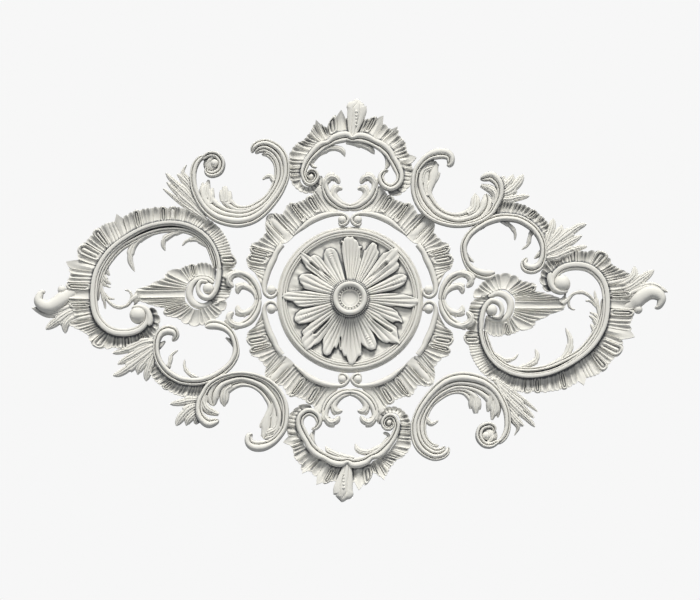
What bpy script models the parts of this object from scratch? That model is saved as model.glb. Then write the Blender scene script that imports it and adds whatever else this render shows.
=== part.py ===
"""A long diamond-shaped ceiling rosette of twelve cast plaster ornaments.

The carved face looks along -Y and the flat backs lie in the plane y = 0. +X runs along the
rosette's length and +Z across it. The outlines are set out on a squared sheet of 700 by 600
squares, counted across and down from its upper left corner, and heights are in millimetres
above the back. Turning the whole rosette by half a turn about its centre leaves it unchanged.
"""
import math

import bmesh
import bpy
import numpy as np

# Driving sizes
SQUARE = 0.0022                  # side of one square of the sheet, metres
SHEET_CENTRE = (350.0, 300.4)    # squares across and down to the rosette's centre
MM = 0.001
GAP = 0.0003                     # open joint between neighbouring castings
MERGE = 0.00008                  # points closer than this are one
PLASTER = (0.80, 0.79, 0.75, 1.0)   # matt off-white

# Medallion and ring, in squares
MEDALLION_RADIUS = 73.2
DISH_RADIUS = 64.0
HUB_RADIUS = 16.8
HUB_HEIGHT = 46.0                # millimetres, the highest point of the rosette
LEAF_LENGTHS = (67.0, 57.0, 65.0, 60.0)
LEAF_WIDTHS = (17.0, 13.0)
LEAF_SWIRL = 2.0                 # degrees
MOULDING_RADIUS = 85.4           # inner edge of the ring
MOULDING_WIDTH = 5.6
SHELL_RADIUS = 110.5
CORNER_RADIUS = 119.0

# Heights of the relief, in millimetres, and shares of them
MOULDING_HEIGHT = 21.0
SCROLL_EDGE_HEIGHT = 26.0        # the moulding along the shell edge of a side scroll
SHELL_ROOT = 18.0                # shell work beside its moulding
SHELL_RIM = 12.0                 # shell work at its outer edge
VALLEY = 0.5                     # edge of a moulding, as a share of its crest
LEAF_EDGE = 0.55                 # edge of a leaf, as a share of its midrib
PRISM_TOP, PRISM_FOOT = 66.0, -10.0


def smooth(rows, stops):
    """Rows and their rate of change on a smooth line through the stations, at the given stops."""
    p = np.asarray(rows, float)
    p = np.vstack([2 * p[0] - p[1], p, 2 * p[-1] - p[-2]])
    span = np.minimum(np.floor(stops).astype(int), len(rows) - 2)
    t = (stops - span)[:, None]
    a, b, c, d = p[span], p[span + 1], p[span + 2], p[span + 3]
    square, cube = 2 * a - 5 * b + 4 * c - d, 3 * b - a - 3 * c + d
    value = 0.5 * (2 * b + (c - a) * t + square * t ** 2 + cube * t ** 3)
    rate = 0.5 * ((c - a) + 2 * square * t + 3 * cube * t ** 2)
    return value, rate


def even_stops(rows, count):
    """Stops that cut a smooth line into steps of even length."""
    dense = np.linspace(0, len(rows) - 1, 24 * len(rows))
    value, _ = smooth(rows, dense)
    middle = value[:, :2] if value.shape[1] < 4 else (value[:, :2] + value[:, 2:4]) / 2
    run = np.concatenate([[0], np.cumsum(np.linalg.norm(np.diff(middle, axis=0), axis=1))])
    return np.interp(np.linspace(0, run[-1], count + 1), run, dense)


def leftward(rate):
    """Unit directions to the left of travel, on a sheet whose second axis runs down."""
    side = np.column_stack([rate[:, 1], -rate[:, 0]])
    return side / np.linalg.norm(side, axis=1)[:, None]


def band(stations, steps=None):
    """A ridged band: stations hold across, down, width in squares and height in millimetres."""
    stations = np.asarray(stations, float)
    steps = steps or len(stations) - 1
    row, rate = smooth(stations, np.linspace(0, len(stations) - 1, steps + 1))
    offset = np.array([-1.0, 0.0, 1.0])[None, :] * row[:, 2:3] / 2
    plan = row[:, None, :2] + leftward(rate)[:, None, :] * offset[..., None]
    return plan, row[:, 3:4] * np.array([VALLEY, 1.0, VALLEY])[None, :]


def shell(rows, lobes, root=SHELL_ROOT, rim=SHELL_RIM, notch=0.13, bead=None):
    """A fluted strip between an inner and an outer line, its outer edge cut into round lobes.

    It is root millimetres high beside the inner line and rim at its edge. A row holds across
    and down of the inner and of the outer line, and the width of the moulded bead that runs
    along the inner line where there is one, bead millimetres high.
    """
    rows = np.asarray(rows, float)
    row, _ = smooth(rows, even_stops(rows, 2 * lobes))
    crest = (np.arange(2 * lobes + 1) % 2)[:, None]
    outward = row[:, 2:4] - row[:, 0:2]
    length = np.linalg.norm(outward, axis=1)[:, None]
    reach = length * (1 - notch * (1 - crest))
    start, level = np.zeros_like(length), np.full_like(length, root)
    if bead:
        width = row[:, 4:5]
        start = np.hstack([start, width / 2, width])
        level = np.hstack([np.full_like(length, VALLEY * bead), np.full_like(length, bead), level])
    level = np.hstack([level, rim * (0.85 + 0.3 * crest)])
    share = np.hstack([start, reach]) / length
    return row[:, None, 0:2] + outward[:, None, :] * share[..., None], level


def leaf(stations, lobes=3, cut=0.35, sweep=0.5):
    """A leaf along a midrib, with forward-pointing teeth down both of its edges."""
    stations = np.asarray(stations, float)
    row, rate = smooth(stations, even_stops(stations[:, :2], 2 * lobes))
    side = leftward(rate)
    ahead = rate[:, :2] / np.linalg.norm(rate[:, :2], axis=1)[:, None]
    tooth = (1 - cut * (np.arange(2 * lobes + 1) % 2 == 0))[:, None]
    across = np.array([-1.0, 0.0, 1.0])[None, :]
    offset = across * tooth * row[:, 2:3] / 2
    lead = np.abs(offset) * sweep * (tooth > 0.99)
    plan = row[:, None, :2] + side[:, None, :] * offset[..., None]
    plan = plan + ahead[:, None, :] * lead[..., None]
    return plan, row[:, 3:4] * np.array([LEAF_EDGE, 1.0, LEAF_EDGE])[None, :]


def place(across, down, height):
    """World points for places on the sheet at heights above the back."""
    x = (across - SHEET_CENTRE[0]) * SQUARE
    z = (SHEET_CENTRE[1] - down) * SQUARE
    return np.column_stack([x.ravel(), -height.ravel() * MM, z.ravel()])


def settle(mesh_maker):
    """Close up a body: merge its doubled points and turn its faces outwards."""
    bmesh.ops.remove_doubles(mesh_maker, verts=mesh_maker.verts, dist=1e-6)
    bmesh.ops.recalc_face_normals(mesh_maker, faces=mesh_maker.faces)


def lofted(name, plan, height, back=0.0):
    """An open strip of relief closed by its walls, its two ends and a flat back."""
    rows, columns = height.shape
    top = place(plan[..., 0], plan[..., 1], height)
    edge = plan[:, [0, -1]]
    under = place(edge[..., 0], edge[..., 1], np.full((rows, 2), back))
    grid = np.arange(rows * columns).reshape(rows, columns)
    foot = rows * columns + np.arange(2 * rows).reshape(rows, 2)
    section = np.column_stack([foot[:, :1], grid, foot[:, 1:]])
    faces = np.stack([section[:-1, :-1], section[1:, :-1], section[1:, 1:], section[:-1, 1:]], axis=-1)
    faces = faces.reshape(-1, 4).tolist()
    faces += np.stack([foot[:-1, 0], foot[:-1, 1], foot[1:, 1], foot[1:, 0]], axis=-1).tolist()
    faces += [section[0].tolist(), section[-1].tolist()]
    mesh = bpy.data.meshes.new(name)
    mesh.from_pydata(np.vstack([top, under]).tolist(), [], faces)
    maker = bmesh.new()
    maker.from_mesh(mesh)
    settle(maker)
    maker.to_mesh(mesh)
    maker.free()
    return mesh


def turned(name, centre, profile, segments):
    """A body turned about a line through the centre: profile of radius in squares and height."""
    mesh = bpy.data.meshes.new(name)
    points = [(radius * SQUARE, -height * MM, 0.0) for radius, height in profile]
    mesh.from_pydata(points, [(k, k + 1) for k in range(len(points) - 1)], [])
    turning = bpy.data.objects.new(name, mesh)
    CUTTERS.objects.link(turning)
    screw = turning.modifiers.new("Turn", "SCREW")
    screw.axis = "Y"
    screw.steps = screw.render_steps = segments
    screw.use_merge_vertices = True
    screw.merge_threshold = 0.00001
    screw.use_smooth_shade = False
    solid = evaluated(turning)
    bpy.data.objects.remove(turning)
    maker = bmesh.new()
    maker.from_mesh(solid)
    settle(maker)
    shift = place(np.array([centre[0]]), np.array([centre[1]]), np.zeros(1))[0]
    bmesh.ops.translate(maker, verts=maker.verts, vec=shift.tolist())
    maker.to_mesh(solid)
    maker.free()
    return solid


def ball(name, across, down, radius, height):
    """A round boss: a dome on a short upright wall."""
    shoulder = max(height - radius * SQUARE / MM, 0.35 * height)
    profile = [(0, height), (0.7 * radius, shoulder + 0.7 * (height - shoulder)),
               (radius, shoulder), (radius, 0), (0, 0)]
    return turned(name, (across, down), profile, 8)


def evaluated(source):
    """The mesh of an object with its modifiers applied."""
    bpy.context.view_layer.update()
    graph = bpy.context.evaluated_depsgraph_get()
    return bpy.data.meshes.new_from_object(source.evaluated_get(graph))


def combine(name, base, others, operation):
    """One mesh from a base mesh and others joined to it or cut from it."""
    group = bpy.data.collections.new(name + "_tools")
    CUTTERS.children.link(group)
    for number, mesh in enumerate(others):
        tool = bpy.data.objects.new(f"{name}_tool_{number}", mesh)
        tool.hide_render = True
        tool.display_type = "WIRE"
        group.objects.link(tool)
    body = bpy.data.objects.new(name + "_work", base)
    CUTTERS.objects.link(body)
    boolean = body.modifiers.new("Combine", "BOOLEAN")
    boolean.operation = operation
    boolean.operand_type = "COLLECTION"
    boolean.collection = group
    boolean.solver = "EXACT"
    result = evaluated(body)
    for tool in list(group.objects) + [body]:
        bpy.data.objects.remove(tool)
    bpy.data.collections.remove(group)
    return result


def tidy(mesh):
    """Flat faces that lie in one plane are joined, and slivers are closed."""
    maker = bmesh.new()
    maker.from_mesh(mesh)
    bmesh.ops.remove_doubles(maker, verts=maker.verts, dist=MERGE)
    bmesh.ops.dissolve_degenerate(maker, dist=MERGE, edges=maker.edges)
    bmesh.ops.dissolve_limit(maker, angle_limit=math.radians(2.5), verts=maker.verts, edges=maker.edges)
    bmesh.ops.triangulate(maker, faces=maker.faces)
    bmesh.ops.dissolve_degenerate(maker, dist=1e-5, edges=maker.edges)
    maker.to_mesh(mesh)
    maker.free()


def footprint(name, plan, height):
    """A prism over a strip's outline, grown by the open joint on every side."""
    edge = plan[:, [0, -1]].copy()
    width = edge[:, 0] - edge[:, 1]
    width /= np.maximum(np.linalg.norm(width, axis=1), 1e-9)[:, None]
    edge[:, 0] += width * GAP / SQUARE
    edge[:, 1] -= width * GAP / SQUARE
    for end, inside in ((0, 1), (-1, -2)):
        along = edge[end] - edge[inside]
        along /= np.linalg.norm(along, axis=1)[:, None]
        edge[end] += along * GAP / SQUARE
    return lofted(name, edge, np.full(edge.shape[:2], PRISM_TOP), back=PRISM_FOOT)


class Casting:
    """One ornament: the strips and bosses that it is made of."""

    def __init__(self, name):
        self.name = name
        self.strips = []
        self.bosses = []

    def add(self, *strips):
        self.strips += strips

    def boss(self, across, down, radius, height):
        self.bosses.append((across, down, radius, height))

    def solids(self):
        strips = [lofted(f"{self.name}_{k}", *strip) for k, strip in enumerate(self.strips)]
        return strips + [ball(f"{self.name}_boss_{k}", *boss) for k, boss in enumerate(self.bosses)]

    def footprints(self, half_turn):
        """Grown outlines of the casting, or of its copy on the other side of the centre."""
        prisms = [footprint(f"{self.name}_print_{k}", *strip) for k, strip in enumerate(self.strips)]
        for across, down, radius, _ in self.bosses:
            grown = radius + GAP / SQUARE
            profile = [(0, PRISM_TOP), (grown, PRISM_TOP), (grown, PRISM_FOOT), (0, PRISM_FOOT)]
            prisms.append(turned(f"{self.name}_print", (across, down), profile, 8))
        if half_turn:
            for prism in prisms:
                points = np.empty(3 * len(prism.vertices))
                prism.vertices.foreach_get("co", points)
                points = points.reshape(-1, 3) * (-1, 1, -1)
                prism.vertices.foreach_set("co", points.ravel())
        return prisms

    def build(self, neighbours=()):
        """The casting as one mesh, cut back to an open joint from its neighbours."""
        first, *rest = self.solids()
        mesh = combine(self.name, first, rest, "UNION")
        prisms = [p for neighbour, turn in neighbours for p in neighbour.footprints(turn)]
        if prisms:
            mesh = combine(self.name, mesh, prisms, "DIFFERENCE")
        tidy(mesh)
        mesh.name = self.name
        return mesh


def polar(angle, radius):
    """A place on the sheet at an angle in degrees, clockwise from the top, about the centre."""
    turn = math.radians(angle)
    return SHEET_CENTRE[0] + radius * math.sin(turn), SHEET_CENTRE[1] - radius * math.cos(turn)


def mirrored(stations, axis):
    """Stations on the other side of the centre line across (0) or down (1) the sheet."""
    flipped = np.asarray(stations, float).copy()
    flipped[:, axis] = 2 * SHEET_CENTRE[axis] - flipped[:, axis]
    return flipped


def turned_over(stations):
    """Stations after half a turn about the rosette's centre."""
    return mirrored(mirrored(stations, 0), 1)


def make_medallion():
    """The turned dish and rim, sixteen leaves and the hub with its ring."""
    rim = [(0, 12), (DISH_RADIUS, 11), (67.5, 20), (MEDALLION_RADIUS, 12), (MEDALLION_RADIUS, 0), (0, 0)]
    hub = [(0, 31), (8, 33), (11.5, 40), (14.6, HUB_HEIGHT), (HUB_RADIUS, 36), (HUB_RADIUS, 4), (0, 4)]
    dish = turned("dish", SHEET_CENTRE, rim, 44)
    solids = [turned("hub", SHEET_CENTRE, hub, 18)]
    for number in range(16):
        angle = number * 360 / 16
        length = LEAF_LENGTHS[number % 4]
        wide = LEAF_WIDTHS[number % 2]
        stations = [polar(angle, 15) + (4.5, 30),
                    polar(angle - LEAF_SWIRL, 0.45 * length) + (wide * 0.7, 27),
                    polar(angle, 0.72 * length) + (wide, 25),
                    polar(angle + LEAF_SWIRL, 0.92 * length) + (wide * 0.7, 23),
                    polar(angle, length) + (2.5, 17)]
        solids.append(lofted(f"leaf_{number}", *leaf(stations, lobes=2, cut=0.22, sweep=0.2)))
    mesh = combine("medallion", dish, solids, "UNION")
    tidy(mesh)
    mesh.name = "medallion"
    return mesh


def ring_casting():
    """The shell-edged ring: moulded inner bead, corner shells, four lyres and eight balls."""
    ring = Casting("ring")
    reach = ((0, CORNER_RADIUS), (5, 113), (12, SHELL_RADIUS), (22, SHELL_RADIUS), (29, 115), (34, 102),
             (40, 94), (46, 93))
    for quarter in range(4):
        middle = 90.0 * quarter + 45
        for side in (1, -1):
            rows = []
            for angle, radius in reach:
                turn = middle + side * (angle - 0.5)
                rows.append(polar(turn, MOULDING_RADIUS) + polar(turn, radius) + (MOULDING_WIDTH,))
            ring.add(shell(rows, 5, root=17, notch=0.08, bead=MOULDING_HEIGHT))
    arm = [(351, 208, 5, 20), (339, 204.5, 8, 22), (329.5, 197, 8, 22), (325, 187, 6.5, 22),
           (327, 179, 5.5, 22), (334, 177, 5, 22), (337.5, 182, 3, 18)]
    west_arm = [(259, 301, 5, 20), (256, 289, 8, 22), (249, 279, 8, 22), (239, 274, 6.5, 22),
                (231, 278, 5, 22), (232, 286, 3, 18)]
    for run, axis in ((arm, 0), (west_arm, 1)):
        for line in (run, mirrored(run, axis), turned_over(run), turned_over(mirrored(run, axis))):
            ring.add(band(line, steps=min(len(line) - 1, 5)))
    for across, down in ((342.2, 220.6), (357.8, 220.6), (270.4, 292.4), (270.4, 308.4)):
        ring.boss(across, down, 6.0, 24)
        ring.boss(2 * SHEET_CENTRE[0] - across, 2 * SHEET_CENTRE[1] - down, 6.0, 24)
    return ring


def crest_casting():
    """The arched crest: a band from an inner volute to an open hook, shell work and a palmette."""
    crest = Casting("crest")
    arch = [(310, 178, 3, 22), (307.5, 174, 3, 24), (311, 170, 3.5, 25), (316, 172, 4, 25),
            (318, 179, 4.5, 25), (313, 184.5, 5, 25), (306, 183, 5.5, 25), (302.5, 175, 5.5, 25),
            (304, 165, 6, 24), (307, 158, 6, 24), (314, 150, 6, 24), (325, 143, 6.5, 24),
            (337, 138.5, 6.5, 24), (350, 137.5, 7, 24), (362, 138, 7, 24), (373, 142, 7, 24),
            (383, 148, 6.5, 24), (390, 156, 6.5, 24), (395, 165, 6.5, 24), (400, 173, 6.5, 25),
            (399.5, 182, 7, 26), (393, 187.5, 7, 26), (385.5, 186, 6.5, 26), (381, 179, 5, 24),
            (384, 172, 2.5, 18)]
    crest.add(band(arch, steps=20))
    left = [(308, 184, 300, 191), (303, 176, 290, 180), (304, 166, 289, 167), (307, 158, 291, 154),
            (314, 150, 298, 141), (325, 143, 311, 129), (337, 138, 326, 118), (350, 137, 347, 109)]
    right = [(363, 138, 365, 112), (376, 143, 380, 117), (387, 151, 395, 129), (393, 160, 406, 143),
             (398, 169, 414, 160), (401, 176, 413, 171), (401, 183, 411, 184)]
    crest.add(shell(left, 8), shell(right, 6))
    crest.add(leaf([(356, 140, 16, 22), (356, 128, 20, 24), (357, 114, 21, 22), (359, 98, 3, 12)],
                   3, 0.2))
    crest.add(band([(312, 160, 6, 15), (318, 153, 6, 16), (326, 149, 5, 16), (335, 148, 4.5, 15),
                    (342, 151, 3.5, 13), (345, 156, 1.2, 8)]))
    crest.add(band([(340, 141, 6, 15), (352, 141.5, 6, 16), (362, 145, 5, 15), (370, 148.5, 3.5, 13),
                    (375, 153, 1.2, 8)]))
    return crest


def northwest_casting():
    """The large C-scroll of three nested bands between two curls, with its leaf spray."""
    scroll = Casting("northwest")
    outer = [(207, 165, 4, 24), (209, 170, 6, 26), (214.5, 171, 7, 28), (219.5, 166, 7.5, 29),
             (219, 158, 7.5, 30), (212.5, 154, 6, 29), (204, 155, 6, 28), (196.5, 163, 6, 27),
             (193, 175, 6, 26), (194.5, 190, 6.5, 26), (203, 207, 7.5, 26), (216, 218, 8.5, 27),
             (233, 222.8, 9.5, 27), (246, 222, 9, 27), (257, 217.5, 8.3, 27), (268, 208, 7.5, 26),
             (278.5, 194.5, 6.8, 26), (285, 181, 6.3, 26), (286.5, 170, 6.5, 26), (284.6, 158, 7, 27),
             (278.5, 148.5, 7, 27), (268, 142.5, 6.5, 26), (259, 143, 6, 25), (253.8, 148, 5.5, 24),
             (253.5, 154, 3, 18)]
    middle = [(208, 180, 4, 14), (205.5, 190, 12, 19), (207.5, 199, 13, 21), (214, 206.5, 12, 22),
              (226, 212.5, 8.5, 22), (241.5, 214.5, 7.5, 22), (253.5, 211, 7, 22), (265, 203, 6.5, 21),
              (274, 191.5, 6.5, 21), (279.5, 180, 7, 20), (280.5, 170.5, 6, 20), (278, 161, 6, 19),
              (272, 153, 4, 16)]
    inner = [(225, 187, 5, 13), (225, 194, 11, 16), (227, 201, 11, 18), (236, 208, 7, 18),
             (248, 208, 5, 18), (260, 202, 5, 17), (269, 194, 5, 16), (273, 183, 5, 15),
             (270.5, 171, 2, 10)]
    scroll.add(band(outer, steps=20), band(middle, steps=9), band(inner, steps=6))
    scroll.add(leaf([(210, 216, 10, 20), (192, 203, 14, 20), (178, 194.5, 11, 18),
                     (162, 188, 2, 10)], 2))
    scroll.add(leaf([(206, 210, 10, 19), (190, 193, 15, 19), (178, 181, 12, 17), (166, 174, 2, 10)], 2))
    scroll.add(leaf([(200, 200, 9, 18), (192, 186, 12, 18), (187, 175, 8, 16), (187, 163, 2, 10)], 2))
    scroll.add(leaf([(210, 219, 8, 16), (196, 214, 10, 16), (181, 206, 2, 10)], 1))
    return scroll


def southwest_casting():
    """The second C-scroll: three nested bands, a leaf end cut into tips, and its leaf spray."""
    scroll = Casting("southwest")
    outer = [(254, 438, 2.5, 20), (249.5, 440, 5, 25), (250.5, 447, 6, 27), (258, 450, 6, 27),
             (267, 447.5, 6.5, 27),
             (276, 440, 7, 27), (283, 430, 7, 27), (286, 419, 6.5, 27), (285.5, 407, 6, 26),
             (281.5, 396, 5.5, 26), (274.5, 387, 5.5, 26), (264, 380, 5, 26), (251, 376, 5, 26),
             (240, 375, 4.5, 26), (229, 376.5, 4.5, 26), (218, 380.5, 5, 26), (209, 387, 5.5, 26),
             (204.5, 395, 5.5, 26), (202.5, 404, 5.5, 27), (201.5, 414, 6, 29), (206, 423, 7, 30),
             (214, 423, 6.5, 29), (217, 417, 5, 27), (212, 413, 3.5, 24)]
    middle = [(214, 407, 5, 14), (213, 399, 12, 19), (216, 390, 10, 21), (223.5, 383.5, 7.5, 21),
              (239, 379, 5.5, 21), (251, 380.5, 6, 21), (263.5, 386.5, 6.5, 21), (272, 395, 6, 21),
              (277.5, 404.5, 6.5, 20), (281, 417, 6.5, 20), (279.5, 429, 6, 18), (272, 441, 3, 15)]
    inner = [(224, 399, 7, 12), (227, 391, 9, 15), (238, 385, 7.5, 17), (250, 385.5, 5.5, 17),
             (260, 390.5, 6, 16), (267, 398, 7, 16), (272, 408, 8.5, 16), (270.5, 420, 14, 16),
             (269, 430, 16, 15), (264, 440, 6, 12)]
    scroll.add(band(outer, steps=17), band(middle, steps=9), band(inner, steps=7))
    scroll.add(leaf([(272, 424, 8, 16), (268, 432, 8, 15), (259, 438, 2, 9)], 1))
    scroll.add(leaf([(270, 410, 7, 16), (268, 417, 8, 15), (259, 427, 2, 9)], 1))
    scroll.add(leaf([(216, 393, 8, 17), (224, 397, 9, 16), (231, 402, 2, 9)], 1))
    scroll.add(leaf([(210, 400, 9, 18), (217, 406, 9, 16), (222, 415, 2, 9)], 1))
    scroll.add(leaf([(206, 396, 10, 18), (192, 397, 12, 18), (181, 400, 9, 16), (170, 405, 2, 10)], 1))
    scroll.add(leaf([(205, 401, 10, 19), (192, 407, 14, 19), (183, 415, 10, 16), (176, 426, 2, 10)], 1))
    scroll.add(leaf([(203, 405, 9, 18), (198, 413, 11, 18), (192, 419, 8, 16), (188, 426, 2, 10)], 1))
    return scroll


def side_casting():
    """The long side scroll: band, shell edge, inner shell with volute, sprays, tendril and horn."""
    side = Casting("side")
    volute = [(208, 283, 3, 22), (201, 282.5, 4, 24), (198, 289, 4.5, 25), (201, 296.5, 5, 26),
              (209, 299, 5, 26),
              (215.5, 292, 5, 26), (218.5, 281, 5, 26), (218.7, 269, 4.5, 25)]
    lower = [(148.5, 325, 6.5, 28), (151, 319, 6.3, 28), (148, 311.5, 5.5, 27), (142, 308.5, 4, 26)]
    inner = [(213, 268, 4, 14), (205.5, 247.5, 7, 18), (189.5, 233, 7, 19), (170, 228.5, 7, 19),
             (148.5, 233, 7, 19), (128, 243.5, 8, 19), (112, 258.5, 9, 19), (102.5, 276, 8, 19),
             (101, 302, 3, 14)]
    side.add(band(volute), band(lower), band(inner))
    edge = [(216.5, 271, 235, 268, 4.5), (214.5, 260, 233, 252, 4.5), (210.5, 250, 224, 236, 4.5),
            (203, 240, 209, 221, 4.8), (192.5, 231.5, 195, 212, 5), (171, 226, 174, 206, 5),
            (154.5, 228, 149, 207.5, 5), (128, 240.5, 121, 217, 5.3), (114, 251, 99, 227, 5.8),
            (101, 271, 80, 248, 6.2), (98.5, 282, 70, 275, 6.6), (97.5, 296, 68, 296, 7),
            (99.5, 309, 70, 318, 7.4), (104, 319.5, 82, 334, 7.5), (112.5, 327.5, 104, 348, 7.5),
            (122, 331, 122, 351, 7.5),
            (133, 331, 137, 350, 7.5), (142, 327.5, 152, 339, 7), (147.5, 320.5, 158, 322, 6.4)]
    side.add(shell(edge, 25, bead=SCROLL_EDGE_HEIGHT))
    side.add(leaf([(124, 232, 5, 18), (119, 222, 6, 16), (116, 213, 1.5, 10)], 1, 0.1))
    side.add(leaf([(90, 268, 7, 18), (78, 265, 7, 16), (67, 261, 1.5, 10)], 1, 0.1))
    right = [(217, 265, 236, 264), (218, 283, 232, 286), (214, 293, 226, 299), (206, 299, 211, 305)]
    side.add(shell(right, 3, root=17))
    spread = [(213, 281, 217, 270), (207, 279, 205, 264), (201, 280, 189, 262), (196, 284, 174, 269),
              (194, 288, 154, 281), (193, 291, 133, 301), (194, 295, 149, 304), (197, 299, 166, 317),
              (201, 301, 184, 323), (206, 303, 202, 325), (211, 303, 215, 317), (215, 299, 226, 301)]
    side.add(shell(spread, 8, root=20, rim=11, notch=0.09))
    side.boss(208.5, 289.5, 5.5, 28)
    side.boss(138.5, 316, 8.7, 33)
    horn = [(45, 293.5, 3, 16), (39.5, 296, 6, 21), (39, 303, 8, 24), (46, 306.5, 12, 26),
            (55, 305, 11, 26),
            (62, 300, 8.5, 24), (69, 294, 7, 22), (78, 290, 7, 20)]
    side.add(band(horn))
    side.boss(63, 291, 4.2, 20)
    side.add(leaf([(80, 304, 10, 16), (60, 311, 12, 16), (46, 314, 10, 14), (32, 308, 1.5, 9)], 2))
    side.add(leaf([(82, 311, 11, 15), (66, 317, 13, 15), (55, 323, 9, 13), (45, 329, 1.5, 9)], 2))
    side.add(leaf([(84, 318, 11, 15), (74, 323, 12, 15), (65, 333, 1.5, 9)], 1))
    for stations in (
            [(154, 233, 5, 15), (141, 239, 7, 16), (132.5, 248, 8, 15), (130, 260, 7, 14),
             (134.5, 272, 1.2, 8)],
            [(186, 230, 5, 15), (174, 234, 6, 16), (165, 239, 7, 14), (163, 245, 5, 12),
             (165, 251, 1.2, 8)],
            [(206, 246, 5, 15), (196, 240, 5, 15), (187, 241, 4, 12), (182, 246, 1.2, 8)],
            [(106, 266, 8, 14), (114, 258, 9, 15), (123, 252, 7, 12), (128, 246, 2, 8)],
            [(101, 285, 6, 14), (106, 281, 6, 13), (111, 287, 1.5, 8)],
            [(100, 290, 5, 14), (106, 300, 4.5, 15), (113, 307, 4.5, 15), (122, 309, 4.5, 15),
             (130, 304, 5, 16),
             (137, 300, 6, 16)]):
        side.add(band(stations, steps=min(len(stations) - 1, 3)))
    return side


def hook_casting():
    """The small hooked scroll: one band from a curl to a leafy end, shell edge, fronds and spray."""
    hook = Casting("hook")
    main = [(171, 340, 3, 22), (176.5, 336.5, 5, 25), (174, 330.5, 6, 26), (166, 330, 6, 26),
            (159.5, 336, 6.5, 26),
            (157, 345, 7, 26), (156.5, 354, 7, 26), (160, 364, 7.5, 26), (168, 374, 8, 26),
            (180, 381, 8, 26),
            (192, 383, 8, 26), (203, 382, 8, 26), (216, 377, 7.5, 26), (229, 368, 7, 26),
            (236, 357, 7, 26),
            (237, 347, 6.5, 25), (233, 337, 7, 25), (225, 329.5, 8, 24), (216, 327, 8, 23),
            (209, 328.5, 6, 20), (204, 332, 2.5, 14)]
    hook.add(band(main, steps=15))
    edge = [(157, 346, 147, 349), (157, 357, 146, 361), (162, 368, 151, 375), (171, 377, 162, 387),
            (184, 384, 178, 395), (198, 385, 197, 398), (206, 384, 209, 392)]
    hook.add(shell(edge, 6, root=17))
    hook.add(leaf([(158, 351, 8, 18), (141, 354, 10, 17), (127, 357.5, 9, 15), (112, 354, 2, 9)], 2))
    hook.add(leaf([(158, 354, 9, 18), (143, 359, 13, 17), (130, 366, 11, 15), (113, 373.5, 2, 9)], 2))
    hook.add(leaf([(158, 358, 9, 18), (147, 365, 12, 17), (137, 374, 10, 15), (124, 379, 2, 9)], 2))
    hook.add(leaf([(160, 362, 9, 17), (152, 370, 10, 16), (147, 382, 2, 9)], 1))
    for stations in (
            [(166, 374, 5, 14), (170, 364, 5, 15), (172, 356, 4, 13), (178, 351, 1.2, 8)],
            [(199, 380, 5, 14), (190, 375, 5, 15), (185, 368, 4, 13), (185, 360.5, 1.2, 8)],
            [(211, 379, 4, 13), (217, 373.5, 3.5, 12), (221, 370.5, 1.2, 8)]):
        hook.add(band(stations, steps=2))
    return hook


def plaster(name):
    """The matt off-white plaster of one casting."""
    material = bpy.data.materials.new(name)
    material.use_nodes = True
    shader = material.node_tree.nodes["Principled BSDF"]
    shader.inputs["Base Color"].default_value = PLASTER
    shader.inputs["Roughness"].default_value = 0.8
    shader.inputs["Metallic"].default_value = 0.0
    return material


def show(name, mesh, half_turn=False):
    """One casting as an object of its own, in place or turned over to the other side."""
    item = bpy.data.objects.new(name, mesh)
    if half_turn:
        item.rotation_euler = (0.0, math.pi, 0.0)
    item.data.materials.clear()
    item.data.materials.append(plaster(name))
    ROSETTE.objects.link(item)
    return item


def main():
    ring, crest = ring_casting(), crest_casting()
    northwest, southwest = northwest_casting(), southwest_casting()
    side, hook = side_casting(), hook_casting()
    show("medallion", make_medallion())
    show("ring", ring.build())
    pairs = (
        (northwest, ("scroll_northwest", "scroll_southeast"), [(ring, False)]),
        (southwest, ("scroll_southwest", "scroll_northeast"), [(ring, False)]),
        (side, ("side_west", "side_east"), [(ring, False), (northwest, False)]),
        (crest, ("crest_north", "crest_south"), [(ring, False), (northwest, False), (southwest, True)]),
        (hook, ("hook_southwest", "hook_northeast"), [(ring, False), (southwest, False), (side, False)]),
    )
    for casting, names, neighbours in pairs:
        mesh = casting.build(neighbours)
        show(names[0], mesh)
        show(names[1], mesh.copy(), half_turn=True)


for old in list(bpy.data.objects):
    bpy.data.objects.remove(old)
ROSETTE = bpy.data.collections.new("Ceiling rosette")
CUTTERS = bpy.data.collections.new("Cutters")
bpy.context.scene.collection.children.link(ROSETTE)
bpy.context.scene.collection.children.link(CUTTERS)
main()
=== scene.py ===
"""The carved plaster of a long ceiling rosette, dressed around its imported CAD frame.

Outlines are set out on the same squared sheet as the CAD solids: 700 by 600 squares, counted
across and down from its upper left corner, with heights in millimetres above the flat back.
"""
import math

import bpy
import numpy as np
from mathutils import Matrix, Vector


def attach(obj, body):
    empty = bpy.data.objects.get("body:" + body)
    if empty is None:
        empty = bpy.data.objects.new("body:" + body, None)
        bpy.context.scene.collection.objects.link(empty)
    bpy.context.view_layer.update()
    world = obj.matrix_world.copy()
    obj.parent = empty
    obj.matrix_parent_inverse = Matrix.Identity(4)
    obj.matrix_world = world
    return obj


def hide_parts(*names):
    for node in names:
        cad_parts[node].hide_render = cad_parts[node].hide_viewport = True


bl_info = {
    "name": "Plaster ceiling rosette",
    "version": (1, 0, 0),
    "blender": (4, 5, 0),
    "location": "3D View > Sidebar > Rosette",
    "description": "Carves the castings of a long plaster ceiling rosette around their CAD solids",
    "category": "Object",
}

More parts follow.
